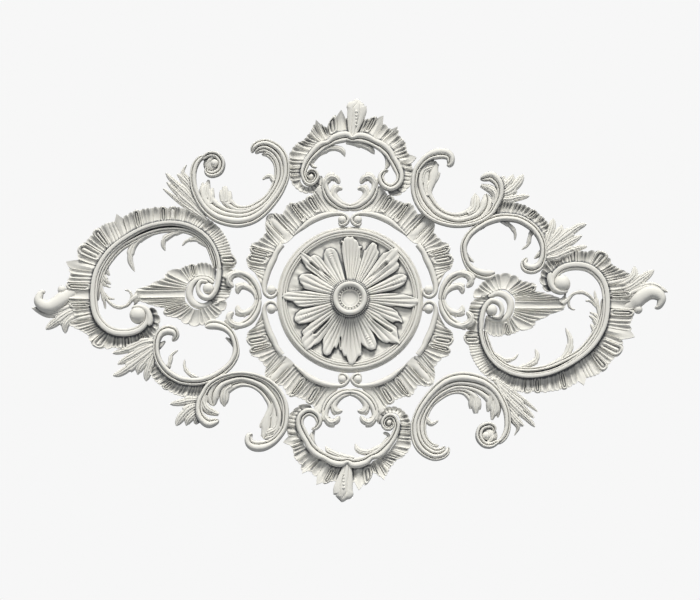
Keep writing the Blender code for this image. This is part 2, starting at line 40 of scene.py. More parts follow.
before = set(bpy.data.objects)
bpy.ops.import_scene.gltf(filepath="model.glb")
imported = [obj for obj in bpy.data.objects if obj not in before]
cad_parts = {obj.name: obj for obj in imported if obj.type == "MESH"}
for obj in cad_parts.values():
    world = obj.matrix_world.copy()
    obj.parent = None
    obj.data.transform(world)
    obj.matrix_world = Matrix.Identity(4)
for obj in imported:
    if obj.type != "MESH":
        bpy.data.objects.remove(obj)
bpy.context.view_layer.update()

SHEET = (700, 600)
CENTRE = (350.0, 300.4)          # squares across and down to the rosette's centre
MM = 0.001
ROUND = ((-1.0, 1.0, 1.0),)      # one roll across a moulding: its two sides and its share of the height
TWO_ROLLS = ((-1.0, 0.1, 1.0), (0.1, 1.0, 0.9))


def settings():
    """The rosette's sizes and colours, as the sidebar shows them."""
    return bpy.context.scene.rosette


def table(text):
    """A list of rows of numbers, written with spaces in a row and commas between rows."""
    return [tuple(map(float, row.split())) for row in text.split(",")]


# Lines and grids on the sheet

def smooth(rows, stops):
    """Catmull-Rom line through stations: its rows and their rate of change at the given stops."""
    p = np.asarray(rows, float)
    p = np.vstack([2 * p[0] - p[1], p, 2 * p[-1] - p[-2]])
    span = np.minimum(np.floor(stops).astype(int), len(rows) - 2)
    t = (stops - span)[:, None]
    a, b, c, d = p[span], p[span + 1], p[span + 2], p[span + 3]
    square, cube = 2 * a - 5 * b + 4 * c - d, 3 * b - a - 3 * c + d
    value = 0.5 * (2 * b + (c - a) * t + square * t ** 2 + cube * t ** 3)
    rate = 0.5 * ((c - a) + 2 * square * t + 3 * cube * t ** 2)
    return value, rate


def along(rows, step=1.0):
    """Stops about one every step squares of a line's length, and that length."""
    dense = np.linspace(0, len(rows) - 1, 24 * len(rows))
    value, _ = smooth(rows, dense)
    run = np.concatenate([[0], np.cumsum(np.linalg.norm(np.diff(value[:, :2], axis=0), axis=1))])
    shares = np.linspace(0, 1, max(int(run[-1] / step), 6) + 1)
    return np.interp(shares * run[-1], run, dense), run[-1]


def leftward(rate):
    """Unit directions to the left of travel, on a sheet whose second axis runs down."""
    side = np.column_stack([rate[:, 1], -rate[:, 0]])
    return side / np.maximum(np.linalg.norm(side, axis=1), 1e-9)[:, None]


def roll_columns(rolls, count):
    """Places across a moulding, from -1 to 1, closer together beside its valleys."""
    turn = np.cos(np.linspace(math.pi, 0, count + 1))
    places = [(low + high) / 2 + (high - low) / 2 * turn for low, high, _ in rolls]
    return np.unique(np.round(np.concatenate(places + [[-1.0, 1.0]]), 6))


def rolls_at(t, rolls, valley, crown):
    """Share of the height at t: the square root of one less the distance from a roll's middle to the power crown."""
    share = np.full(t.shape, valley)
    for low, high, top in rolls:
        off = (2 * t - low - high) / (high - low)
        swell = valley + (top - valley) * np.sqrt(np.clip(1 - np.abs(off) ** crown, 0, 1))
        share = np.where(np.abs(off) <= 1, np.maximum(share, swell), share)
    return share


def band(stations, rolls=ROUND, count=10, ends=(True, True), valley=0.5, crown=2.4):
    """A moulding carried along a line: rows of across, down, width and height, rolls across it.

    Point = line + left of travel * t * width / 2, height = station height * share(t). Where an
    end is rounded, the width there shrinks as the square root that draws half a circle.
    """
    stations = np.asarray(stations, float)
    stops, length = along(stations)
    row, rate = smooth(stations, stops)
    width = np.maximum(row[:, 2], 0.4)
    run = np.linspace(0, length, len(stops))
    for rounded, distance in zip(ends, (run, run[::-1])):
        if rounded:
            reach = width[0 if distance[0] == 0 else -1] / 2 + 0.3
            width = width * np.sqrt(np.clip(1 - np.clip(1 - distance / reach, 0, 1) ** 2, 0.02, 1))
    t = roll_columns(rolls, count)
    plan = row[:, None, :2] + leftward(rate)[:, None, :] * (t[None, :] * width[:, None] / 2)[..., None]
    return plan, row[:, 3:4] * rolls_at(t, rolls, valley, crown)[None, :]


def blade(stations, teeth=3, cut=0.3, sweep=0.45, flutes=2, groove=2.2, rim=0.3, step=1.0):
    """A carved leaf along a midrib: rows of across, down, width and height.

    Half width = station width / 2 * (1 - cut * (1 - tooth)), where tooth climbs and drops once
    a tooth. Height = station height * (1 - rim * t squared) - groove * (1 - half-round flutes).
    """
    stations = np.asarray(stations, float)
    stops, _ = along(stations, step)
    row, rate = smooth(stations, stops)
    share = np.linspace(0, 1, len(stops))
    phase = (share * teeth) % 1.0
    phase[-1] = 1.0 if teeth else 0.0
    tooth = np.where(phase < 0.8, phase / 0.8, (1 - phase) / 0.2) ** 0.8 if teeth else np.ones(len(share))
    width = np.maximum(row[:, 2], 0.3) / 2 * (1 - cut * (1 - tooth))
    t = roll_columns([(2 * k / flutes - 1, 2 * (k + 1) / flutes - 1, 1) for k in range(flutes)], 6)
    middle = (t + 1) / 2 * flutes
    ridge = np.sqrt(np.clip(1 - (2 * (middle - np.minimum(np.floor(middle), flutes - 1)) - 1) ** 2, 0, 1))
    offset = width[:, None] * t[None, :]
    lead = np.abs(offset) * sweep * (tooth * (share < 0.98))[:, None]
    ahead = rate[:, :2] / np.maximum(np.linalg.norm(rate[:, :2], axis=1), 1e-9)[:, None]
    plan = row[:, None, :2] + leftward(rate)[:, None, :] * offset[..., None] + ahead[:, None, :] * lead[..., None]
    fade = np.clip(np.minimum(share * 6, (1 - share) * 5), 0, 1)[:, None]
    height = row[:, 3:4] * (1 - rim * t[None, :] ** 2) - groove * fade * (1 - ridge[None, :])
    return plan, np.maximum(height, 1.5)


# Lobes of the shell edge: a letter each, with relative width, kind and how far it bulges for its width
LOBES = {
    "i": (0.7, "flute", 0.28), "n": (1.0, "hollow", 0.3), "U": (2.0, "loop", 0.3), "b": (1.8, "ladder", 0.28),
    "v": (1.7, "point", 0.75), "w": (2.0, "hollow", 0.22),
}


def rocaille(rows, rhythm, inner=12.5, outer=14.5, depth=4.6, dip=5.5, terrace=1.3, tip=0.8, rise=20):
    """A fluted shell edge between an inner and an outer line, cut into groups of lobes.

    A row holds across and down of the inner and of the outer line, and each group of letters
    fills the space between two rows. v runs from the inner line to the edge and t across each
    lobe, from -1 to 1. The edge bulges by a share of the lobe's width times the square root of
    1 - t squared, or times 1 - |t| on a pointed lobe. Height = the line from inner to outer,
    less dip * sin(pi v), plus depth * the lobe's form. A form depends on rho, which is |t| below
    the tip and grows into a round end there, and for a loop and a ladder at the root as well: a
    half-round flute, a hollow, a point, a loop (a small ridge ringed by a groove and another
    ridge) or a ladder (a pillow with fine cross lines inside a ringed ridge). Each group leans by
    terrace from its one end to its other.
    """
    rows = np.asarray(rows, float)
    groups = rhythm.split("|")
    if len(groups) != len(rows) - 1:
        raise ValueError(f"{len(groups)} groups of lobes for {len(rows)} rows")
    t, seat, kinds, tau, strength, bulge, lobe, ends = [], [], [], [], [], [], [], [0.0]
    for number, letters in enumerate(groups):
        total = sum(LOBES[letter][0] for letter in letters)
        for letter in letters:
            wide, kind, swell = LOBES[letter]
            count = 2 * max(int(round(2 + 2 * wide)), 3) + (8 if kind == "loop" else 0)
            local = np.cos(np.linspace(math.pi, 0, count + 1))[:-1]
            start = ends[-1]
            place_in = start + wide / total * (local + 1) / 2
            t.append(local)
            seat.append(place_in)
            kinds += [kind] * count
            strength.append(np.full(count, min(wide, 1.3)))
            bulge.append(np.full(count, swell))
            lobe.append(np.full(count, len(ends) - 1))
            tau.append(2 * (place_in - number) - 1)
            ends.append(start + wide / total)
    t, seat, tau = np.concatenate(t + [[1.0]]), np.concatenate(seat + [ends[-1:]]), np.concatenate(tau + [[1.0]])
    strength, bulge = np.concatenate(strength + [[0.8]]), np.concatenate(bulge + [[0.0]])
    lobe, kinds = np.concatenate(lobe + [[len(ends) - 2]]).astype(int), np.array(kinds + ["flute"])
    row, _ = smooth(rows, seat)
    corners = smooth(rows, np.array(ends))[0][:, 2:4]
    width = np.linalg.norm(np.diff(corners, axis=0), axis=1)[lobe]
    outward = row[:, 2:4] - row[:, 0:2]
    reach = np.linalg.norm(outward, axis=1)
    shape = np.where(kinds == "point", 1 - np.abs(t), np.sqrt(np.clip(1 - t ** 2, 0, 1)))
    edge = 1 + bulge * width * shape / reach
    v = 1 - (1 - np.linspace(0, 1, rise + 1)) ** 1.35
    plan = row[:, None, 0:2] + outward[:, None, :] * (edge[:, None] * v[None, :])[..., None]
    past = np.clip((v - tip) / (1 - tip), 0, 1)[None, :]
    rho = np.minimum(np.sqrt(t[:, None] ** 2 + 0.8 * past ** 2), 1)
    flute = np.sqrt(1 - rho ** 2)
    hollow = 0.1 + 0.8 * rho ** 2.2 - 0.5 * past ** 3
    root = 1.3 * np.clip((0.3 - v) / 0.3, 0, 1)[None, :]
    oval = np.minimum(np.sqrt(t[:, None] ** 2 + 0.8 * past ** 2 + root ** 2), 1.3)
    loop = 0.55 + 0.5 * np.cos(2 * math.pi * np.minimum(oval, 1.05) / 0.7)
    point = 1 - 0.8 * np.abs(t[:, None]) + 0 * past
    inset = np.clip((v - 0.6) / 0.4, 0, 1)[None, :]
    pillow = np.sqrt(t[:, None] ** 2 + inset ** 2 + root ** 2)
    rungs = 0.1 * np.cos(20 * math.pi * v)[None, :] * np.exp(-(pillow / 0.45) ** 4)
    ladder = (np.sqrt(np.clip(1 - (pillow / 0.68) ** 2, 0, 1)) + rungs - 0.1
              + 0.75 * np.exp(-((pillow - 0.86) / 0.1) ** 2))
    form = flute + 0 * past
    for kind, other in (("loop", loop), ("point", point), ("hollow", hollow), ("ladder", ladder)):
        form = np.where((kinds == kind)[:, None], other, form)
    swell = (0.35 + 0.65 * np.sin(math.pi * np.clip(v * 0.62 + 0.1, 0, 1)))[None, :]
    level = inner + (outer - inner) * v - dip * np.sin(math.pi * v)
    height = level[None, :] + depth * strength[:, None] * swell * (form - 0.5) + terrace * tau[:, None] * v[None, :]
    return plan, np.maximum(height, 2.0)


def place(across, down, height):
    """World points for places on the sheet at heights above the back."""
    square = settings().square
    x = (across - CENTRE[0]) * square
    z = (CENTRE[1] - down) * square
    return np.column_stack([x.ravel(), -height.ravel() * MM, z.ravel()])


def oriented(points, faces):
    """A closed body's points and faces, turned over if its signed volume is negative."""
    volume = 0.0
    for block in faces:
        corner = points[block]
        for k in range(1, block.shape[1] - 1):
            volume += np.einsum("ij,ij->i", corner[:, 0], np.cross(corner[:, k], corner[:, k + 1])).sum()
    if volume < 0:
        faces = [block[:, ::-1] for block in faces]
    return points, [face for block in faces for face in block.tolist()]


def lofted(plan, height):
    """An open strip of relief closed by its walls, its two ends and a flat back."""
    rows, columns = height.shape
    edge = plan[:, [0, -1]]
    points = np.vstack([place(plan[..., 0], plan[..., 1], height),
                        place(edge[..., 0], edge[..., 1], np.zeros((rows, 2)))])
    grid = np.arange(rows * columns).reshape(rows, columns)
    foot = rows * columns + np.arange(2 * rows).reshape(rows, 2)
    section = np.column_stack([foot[:, :1], grid, foot[:, 1:]])
    sides = np.stack([section[:-1, :-1], section[1:, :-1], section[1:, 1:], section[:-1, 1:]], axis=-1)
    under = np.stack([foot[:-1, 0], foot[:-1, 1], foot[1:, 1], foot[1:, 0]], axis=-1)
    return oriented(points, [sides.reshape(-1, 4), under, section[:1], section[-1:, ::-1]])


def turned(centre, profile, segments=64, ripple=None):
    """A body turned about a line: profile of radius and height carried round, closed at both poles.

    Point = centre + radius * (cosine, sine) of the angle; ripple adds to the height there.
    """
    profile = np.asarray(profile, float)
    angle = np.linspace(0, 2 * math.pi, segments, endpoint=False)
    radius, height = np.broadcast_arrays(profile[:, 0:1], profile[:, 1:2] + 0 * angle[None, :])
    radius = radius + 0 * angle[None, :]
    if ripple:
        height = height + ripple(radius, angle[None, :])
    points = place(centre[0] + radius * np.cos(angle), centre[1] + radius * np.sin(angle), height)
    grid = np.arange(radius.size).reshape(radius.shape)
    following = np.roll(grid, -1, axis=1)
    sides = np.stack([grid[:-1], grid[1:], following[1:], following[:-1]], axis=-1).reshape(-1, 4)
    return oriented(points, [sides, grid[:1], grid[-1:, ::-1]])


def boss(across, down, radius, height, flat=0.35, segments=28):
    """A round boss: a dome on a short upright wall."""
    rise = np.linspace(0, math.pi / 2, 8)
    shoulder = max(height - radius * settings().square / MM, flat * height)
    profile = np.column_stack([radius * np.sin(rise), shoulder + (height - shoulder) * np.cos(rise)])
    profile[0, 0] = 0.02 * radius
    return turned((across, down), np.vstack([profile, [(radius, 0.0)]]), segments)


def polar(angle, radius):
    """A place on the sheet at an angle in degrees, clockwise from the top, about the centre."""
    turn = math.radians(angle)
    return CENTRE[0] + radius * math.sin(turn), CENTRE[1] - radius * math.cos(turn)


def mirrored(stations, axis):
    """Stations on the other side of the centre line across (0) or down (1) the sheet."""
    flipped = np.asarray(stations, float).copy()
    flipped[:, axis] = 2 * CENTRE[axis] - flipped[:, axis]
    return flipped


def turned_over(stations):
    """Stations after half a turn about the rosette's centre."""
    return mirrored(mirrored(stations, 0), 1)


# Meshes and finish

def as_mesh(name, points, faces):
    """A mesh made of points and faces."""
    mesh = bpy.data.meshes.new(name)
    mesh.from_pydata(points.tolist(), [], faces)
    return mesh


def moved(mesh, change):
    """Changes the places of a mesh's points by a function of their array."""
    points = np.empty(3 * len(mesh.vertices))
    mesh.vertices.foreach_get("co", points)
    mesh.vertices.foreach_set("co", change(points.reshape(-1, 3)).ravel())
    mesh.update()


def fused(name, bodies):
    """One closed mesh out of closed bodies that cross one another."""
    group = bpy.data.collections.new(name + "_parts")
    bpy.context.scene.collection.children.link(group)
    first, *rest = [bpy.data.objects.new(f"{name}_{k}", as_mesh(name, *body)) for k, body in enumerate(bodies)]
    bpy.context.scene.collection.objects.link(first)
    for other in rest:
        group.objects.link(other)
    union = first.modifiers.new("Fuse", "BOOLEAN")
    union.operation, union.solver = "UNION", "MANIFOLD"
    union.operand_type, union.collection = "COLLECTION", group
    bpy.context.view_layer.update()
    mesh = bpy.data.meshes.new_from_object(first.evaluated_get(bpy.context.evaluated_depsgraph_get()))
    for spent in [first, *rest]:
        data = spent.data
        bpy.data.objects.remove(spent)
        bpy.data.meshes.remove(data)
    bpy.data.collections.remove(group)
    if len(mesh.vertices) == 0:
        raise RuntimeError(f"{name} did not fuse")
    mesh.name = name
    return mesh


# Shade in the hollows, all in metres: side of a cell of the height grid, how deep a point lies before it
# darkens and over which depth it then does, the foot of the walls that is dark too, and the back that isn't
CELL, SUNK_FROM, SUNK_OVER, FOOT, BACK = 0.0011, 0.002, 0.006, 0.0005, 0.0002


def sunk(points):
    """How deep points lie below the relief just beside them.

    The highest point of each cell of a grid is spread by two cells all round and averaged over
    five by five cells. The depth is that, less the point's own height.
    """
    across, up = (np.round(points[:, k] / CELL).astype(int) for k in (0, 2))
    across, up = across - across.min() + 6, up - up.min() + 6
    top = np.zeros((across.max() + 7, up.max() + 7))
    np.maximum.at(top, (across, up), -points[:, 1])
    for axis in (0, 1, 0, 1):
        top = np.maximum(top, np.maximum(np.roll(top, 1, axis), np.roll(top, -1, axis)))
    for axis in (0, 1):
        top = sum(np.roll(top, shift, axis) for shift in range(-2, 3)) / 5
    return top[across, up] + points[:, 1]


def mark_hollows(mesh):
    """Stores on each point how far the surface round it is hollow, from -1 to 1, as the attribute hollow, from which
    the material paints shade into the colour.

    Along an edge, the hollow is minus the difference of the two normals times the edge's direction.
    The mean over a point's edges is averaged once with its neighbours, and its depth is added.
    """
    count = len(mesh.vertices)
    points, normals = np.empty(3 * count), np.empty(3 * count)
    mesh.vertices.foreach_get("co", points)
    mesh.vertex_normals.foreach_get("vector", normals)
    points, normals = points.reshape(-1, 3), normals.reshape(-1, 3)
    ends = np.empty(2 * len(mesh.edges), dtype=np.int32)
    mesh.edges.foreach_get("vertices", ends)
    a, b = ends.reshape(-1, 2).T
    step = points[b] - points[a]
    length = np.maximum(np.linalg.norm(step, axis=1), 1e-6)
    bend = -np.einsum("ij,ij->i", normals[b] - normals[a], step) / length
    weight = np.minimum(length, 0.003)
    total = np.bincount(a, weight, count) + np.bincount(b, weight, count) + 1e-12
    value = (np.bincount(a, bend * weight, count) + np.bincount(b, bend * weight, count)) / total
    value = 0.5 * value + 0.5 * (np.bincount(a, value[b] * weight, count)
                                 + np.bincount(b, value[a] * weight, count)) / total
    # How deep a point lies below the relief beside it adds to the hollow, for painted shade in recesses and beside
    # walls.
    value = value * 1.3 + np.clip((sunk(points) - SUNK_FROM) / SUNK_OVER, 0, 1)
    # Points on the back, at the foot of every wall, count as fully hollow, so painted shade darkens each wall towards
    # its foot.
    value[points[:, 1] > -FOOT] = 1.0
    layer = mesh.attributes.new("hollow", "FLOAT", "POINT")
    layer.data.foreach_set("value", np.clip(value, -1, 1).astype(np.float32))


class Value:
    """A shader socket that takes part in arithmetic by adding Math nodes to its tree."""

    def __init__(self, tree, socket):
        self.tree, self.socket = tree, socket

    def node(self, kind, sockets=None, **choices):
        """Adds a node, sets its choices first and then its sockets by name or number."""
        made = self.tree.nodes.new(kind)
        for key, choice in choices.items():
            setattr(made, key, choice)
        for key, item in (sockets or {}).items():
            if isinstance(item, Value):
                self.tree.links.new(item.socket, made.inputs[key])
            else:
                made.inputs[key].default_value = item
        return made

    def math(self, operation, first, second):
        made = self.node("ShaderNodeMath", {0: first, 1: second}, operation=operation)
        return Value(self.tree, made.outputs[0])

    def __add__(self, other):
        return self.math("ADD", self, other)

    def __mul__(self, other):
        return self.math("MULTIPLY", self, other)

    def __sub__(self, other):
        return self.math("SUBTRACT", self, other)

    def __rsub__(self, other):
        return self.math("SUBTRACT", other, self)

    def clamped(self):
        made = self.node("ShaderNodeClamp", {"Value": self})
        return Value(self.tree, made.outputs[0])

    __radd__, __rmul__ = __add__, __mul__


def plaster():
    """Matt cast plaster: painted shade darkens the hollows, creases and the foot of the walls, the crests of the
    relief are tinted lighter, with fine pores and faint clouding in the colour.
    """
    if "cast_plaster" in bpy.data.materials:
        return bpy.data.materials["cast_plaster"]
    choice = settings()
    material = bpy.data.materials.new("cast_plaster")
    material.use_nodes = True
    tree = material.node_tree
    shader = tree.nodes["Principled BSDF"]
    start = Value(tree, None)
    coordinates = start.node("ShaderNodeTexCoord")
    where = Value(tree, coordinates.outputs["Object"])
    hollow = Value(tree, start.node("ShaderNodeAttribute", attribute_name="hollow").outputs["Fac"])
    clouds = Value(tree, start.node("ShaderNodeTexNoise", {"Vector": where, "Scale": 9.0, "Detail": 4.0}).outputs[0])
    grain = Value(tree, start.node("ShaderNodeTexNoise", {"Vector": where, "Scale": 420.0, "Detail": 3.0}).outputs[0])
    depth = Value(tree, start.node("ShaderNodeSeparateXYZ", {"Vector": where}).outputs["Y"])
    off_back = start.math("LESS_THAN", depth, -BACK)
    # Painted shade: the hollow attribute, varied a little by the faint clouding, darkens creases, recesses and the
    # foot of the walls where shade falls. The flat back stays plain.
    painted_shade = (hollow * 1.15 - 0.12 + (clouds - 0.5) * 0.2).clamped() * off_back
    # The convex crests of the relief, where the hollow attribute is negative, are tinted lighter.
    crest = (hollow * -0.9).clamped()
    body = start.node("ShaderNodeMix", {"Factor": painted_shade, 6: tuple(choice.plaster) + (1.0,),
                                        7: tuple(choice.shade_colour) + (1.0,)}, data_type="RGBA")
    crest_colour = start.node("ShaderNodeMix", {"Factor": crest, 6: Value(tree, body.outputs[2]),
                                        7: tuple(choice.crest_colour) + (1.0,)}, data_type="RGBA")
    tree.links.new(crest_colour.outputs[2], shader.inputs["Base Color"])
    rough = 0.72 + 0.15 * grain
    tree.links.new(rough.socket, shader.inputs["Roughness"])
    shader.inputs["Specular IOR Level"].default_value = 0.25
    bump = start.node("ShaderNodeBump", {"Strength": 0.12, "Distance": 0.0006, "Height": grain})
    tree.links.new(bump.outputs[0], shader.inputs["Normal"])
    return material


# The backs of neighbours that meet lie this far apart, in metres, in this order from the ceiling
BACK_STEP, BACK_ORDER = 0.00003, ("medallion", "ring", "crest", "scroll", "side", "hook")


def cast(node, mesh, half_turn=False):
    """Stands a carved casting in for its CAD node, in place or after half a turn about the centre."""
    if half_turn:
        moved(mesh, lambda points: points * (-1, 1, -1))
    setback = BACK_STEP * BACK_ORDER.index(node.split("_")[0])
    moved(mesh, lambda points: np.minimum(points, (np.inf, -setback, np.inf)))
    piece = bpy.data.objects.new(f"{node}_carving", mesh)
    bpy.context.scene.collection.objects.link(piece)
    mesh.materials.clear()
    mesh.materials.append(plaster())
    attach(piece, "root")
    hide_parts(node)


def carve(name, solids, node, turned_node=None):
    """Fuses a casting's strips and bosses and casts it, once or on both sides of the centre.

    A strip is a plan and a grid of heights, still to be closed; a turned body has its points and faces.
    """
    mesh = fused(name, [lofted(*solid) if isinstance(solid[1], np.ndarray) else solid for solid in solids])
    mesh.shade_smooth()
    mesh.set_sharp_from_angle(angle=math.radians(38))
    mark_hollows(mesh)
    copy = mesh.copy()
    cast(node, mesh)
    if turned_node:
        cast(turned_node, copy, half_turn=True)


# The castings

# Edge of the medallion's leaves, clockwise from the top, each as places across and down, and its veins
LEAVES = (
    (6, table("""342.5 255, 341 252, 340.2 244, 341.5 241.3, 343.6 242.5, 344.1 239.4, 347.1 237.5, 350.3 238.5,
                352.5 237.3, 354 240, 356.5 241.3, 358 243.8, 358.8 247, 361.8 247.3, 362.4 250, 361.3 260.5""")),
    (4, table("""361.8 260.6, 363 250.6, 365.9 251.3, 369 246.9, 372.1 243.5, 375 244.4, 376.8 246.5, 376.8 249.8,
                378.8 253.1, 378 257.8, 376.5 261.3""")),
    (4, table("""379 259.4, 383.4 254, 387.8 252.8, 392.1 250, 395.3 248.8, 397.5 250, 397.8 255, 399 258.1,
                397.1 262.5, 399 265.6, 398.4 269.4, 394 273.1, 389.3 276""")),
    (3, table("""385 281.5, 388 279.5, 394 276.3, 399 275, 403.4 275.3, 406.5 277.5, 406.3 281.3, 404 285, 399.6 288.1,
                394 290.6, 383 293""")),
    (4, table("""381.5 295, 394 294.4, 404 295.6, 410.3 297.5, 414 298.8, 417.8 300, 418.4 303.1, 415.9 306.9,
                410.3 308.8, 404 307.5, 397.8 306.3, 392.1 307.5, 382 304""")),
    (3, table("""380 306, 391.6 309.3, 397.3 313.1, 398.4 316.3, 401.5 320.6, 402.1 323.8, 399 322.5, 395.3 322.5,
                392.8 323.8, 386.5 320, 377 314""")),
    (5, table("""378 315, 389 323.8, 394 325, 396.5 328.8, 397.1 333.8, 397.8 338.8, 399.6 343.1, 400.3 346,
                396.5 344.4, 392.8 344.4, 389 343.1, 387.1 344.4, 382.8 343.1, 379 340, 375.9 335.6, 367 328""")),
    (3, table("""369 329, 372.8 335, 375.5 341.3, 376.5 345.6, 375.3 350, 371.5 351.5, 367.8 350.3, 364.6 347.5,
                362.1 345.6, 360.9 343.8, 359.5 335""")),
    (6, table("""360 335, 361 345, 361.5 356.3, 358.4 357.5, 356.5 360, 355.3 363.8, 352.1 366.3, 349 365.6,
                347.8 361.3, 346.5 357.5, 344 357.5, 342.8 355, 342.1 352, 339.5 351, 339 341""")),
    (4, table("""339 343, 336.5 350, 334 348.1, 332.1 351.3, 330.3 355.6, 327.1 356.9, 324 355.6, 322.8 351.3,
                323.4 347.5, 322.8 343.8, 323.4 340, 327 334""")),
    (4, table("""325 336, 322.8 340, 320.3 343.1, 316.5 345.6, 312.8 346.9, 310.3 350, 305.9 351.9, 304 348.1,
                302.1 343.8, 301.8 339.4, 304 336.9, 302.1 333.8, 303.4 331.3, 306.5 328.8, 310.3 325, 318 320""")),
    (3, table("""316 320.5, 310.3 323.1, 305.3 324.4, 299 325, 295.3 322.5, 294.6 319.4, 296.5 315, 300.3 311.3,
                306.5 310, 318 307.8""")),
    (5, table("""318 306.5, 311.5 307, 304 308.1, 298.4 307.5, 295.3 305, 292.8 302.5, 285.3 300.6, 282.1 297.5,
                284 295, 287.8 293.1, 294 292.5, 306.5 291.9, 318 294.5""")),
    (3, table("""318 293, 307.8 290.6, 304 289.4, 302.8 286.3, 300.3 283.8, 299 278.8, 301.5 275.6, 306.5 275,
                311.5 275, 316.5 277.5, 320.3 281.3, 325 286""")),
    (5, table("""323 282, 317.8 276.9, 306.5 270, 305.3 266.3, 302.8 262.5, 301.3 258.8, 300.9 253.1, 305.3 255,
                310.3 258.1, 314 255.6, 319 257.5, 322.8 261.3, 327 268""")),
    (3, table("326.5 268, 324.2 262.5, 324 255, 325.9 250.6, 329.6 248.8, 334 250, 337.1 253.8, 339 260, 341 266")),
)
# Chased lines on the leaves: start and end across and down, half width, depth and rise of the lip round it
CHANNELS = table("""
    333 281 311 264 1.5 5 1.4, 367 282 386 264.5 1.8 5.5 2.4, 367 317 391 332.5 1.5 5 1.4,
    332 318 315 334 1.8 5.5 2.4, 341 254 341.6 244 0.8 8 0.6, 360.4 261 361.3 249.5 0.8 8 0.6,
    340.6 350 340.6 339 0.8 8 0.6""")
# Rows of small cross ridges: start and end across and down, half width and number
RIDGES = table("334 266 330 252 2.6 6, 386 287 404 279.5 2.6 7, 365 334 373 348 2.6 6, 313 313 298 319.5 2.6 6")


def beside(plan, x0, y0, x1, y1):
    """Distance of places from a line between two points, beyond its ends too, and the share run along it."""
    way = np.array([x1 - x0, y1 - y0], float)
    length = np.linalg.norm(way)
    off = plan - np.array([x0, y0])
    run = off @ way / length ** 2
    past = np.clip(run - 1, 0, None) * length + 0.6 * np.clip(-run, 0, None) * length
    aside = (off[..., 0] * way[1] - off[..., 1] * way[0]) / length
    return np.sqrt(aside ** 2 + past ** 2), run


def chased(plan, height):
    """Leaves with their channels, each inside a raised lip, and their rows of small cross ridges."""
    for x0, y0, x1, y1, half, depth, lip in CHANNELS:
        far, run = beside(plan, x0, y0, x1, y1)
        far = far / (half * (0.45 + 0.55 * np.clip(run, 0, 1)))
        window = np.clip(run * 3, 0, 1)
        height = height + window * (lip * np.exp(-((far - 1.7) / 0.5) ** 2) - depth * np.exp(-far ** 4))
    for x0, y0, x1, y1, half, number in RIDGES:
        far, run = beside(plan, x0, y0, x1, y1)
        window = np.exp(-(far / half) ** 4) * np.sin(math.pi * np.clip(run, 0, 1)) ** 0.5
        height = height + window * (0.6 + 1.3 * np.cos(2 * math.pi * number * run))
    return height


def leaf(veins, edge, lift):
    """One leaf of the medallion, veined from the hub out to a ragged edge.

    Each ray runs straight out from the hub at an angle that never turns back. Point = root * (1 - v)
    + edge * v. Height falls away from the hub and swells again near the edge, less a narrow groove at
    every whole number of veins * s, where s is the share of the leaf's angle.
    """
    edge = np.array(edge, float)
    run = np.concatenate([[0], np.cumsum(np.linalg.norm(np.diff(edge, axis=0), axis=1))])
    stops = np.unique(np.concatenate([np.linspace(0, run[-1], int(run[-1] / 0.62)), run]))
    rim = np.column_stack([np.interp(stops, run, edge[:, k]) for k in (0, 1)]) - np.array(CENTRE)
    turn = np.maximum.accumulate(np.unwrap(np.arctan2(rim[:, 0], -rim[:, 1])) + 1e-5 * np.arange(len(rim)))
    reach = np.linalg.norm(rim, axis=1)
    s = (turn - turn[0]) / (turn[-1] - turn[0])
    spread = min(1.0, math.radians(21.5) / (turn[-1] - turn[0]))
    start = (turn[0] + turn[-1]) / 2 + (turn - (turn[0] + turn[-1]) / 2) * spread
    ray = [np.column_stack([np.sin(a), -np.cos(a)]) for a in (start, turn)]
    v = 1 - (1 - np.linspace(0, 1, 36)) ** 1.25
    plan = (np.array(CENTRE) + ray[0][:, None, :] * 14 * (1 - v)[None, :, None]
            + ray[1][:, None, :] * (reach[:, None] * v[None, :])[..., None])
    away = (14 * (1 - v)[None, :] + reach[:, None] * v[None, :] - 14) / (reach.max() - 14)
    body = 31 - 14.5 * np.sin(math.pi / 2 * np.clip(away / 0.7, 0, 1)) + 4.0 * np.clip((away - 0.5) / 0.5, 0, 1) ** 1.5
    crown = 2.2 * np.sin(math.pi * s)[:, None] ** 0.7 * np.ones(len(v))
    phase = veins * s
    groove = np.exp(-((phase - np.round(phase)) / 0.17) ** 2) * (phase > 0.3) * (phase < veins - 0.3)
    round_over = np.clip((v - 0.94) / 0.06, 0, 1)[None, :] ** 2 * 2.5
    swell = 0.5 * np.cos(2 * math.pi * phase)[:, None] * np.clip(v * 3, 0, 1)[None, :]
    height = body + lift + crown - groove[:, None] * 2.6 * (1 - v[None, :] ** 4) * np.clip(v * 5, 0.3, 1)[None, :]
    return plan, np.maximum(chased(plan, height - swell - round_over), 12.5)


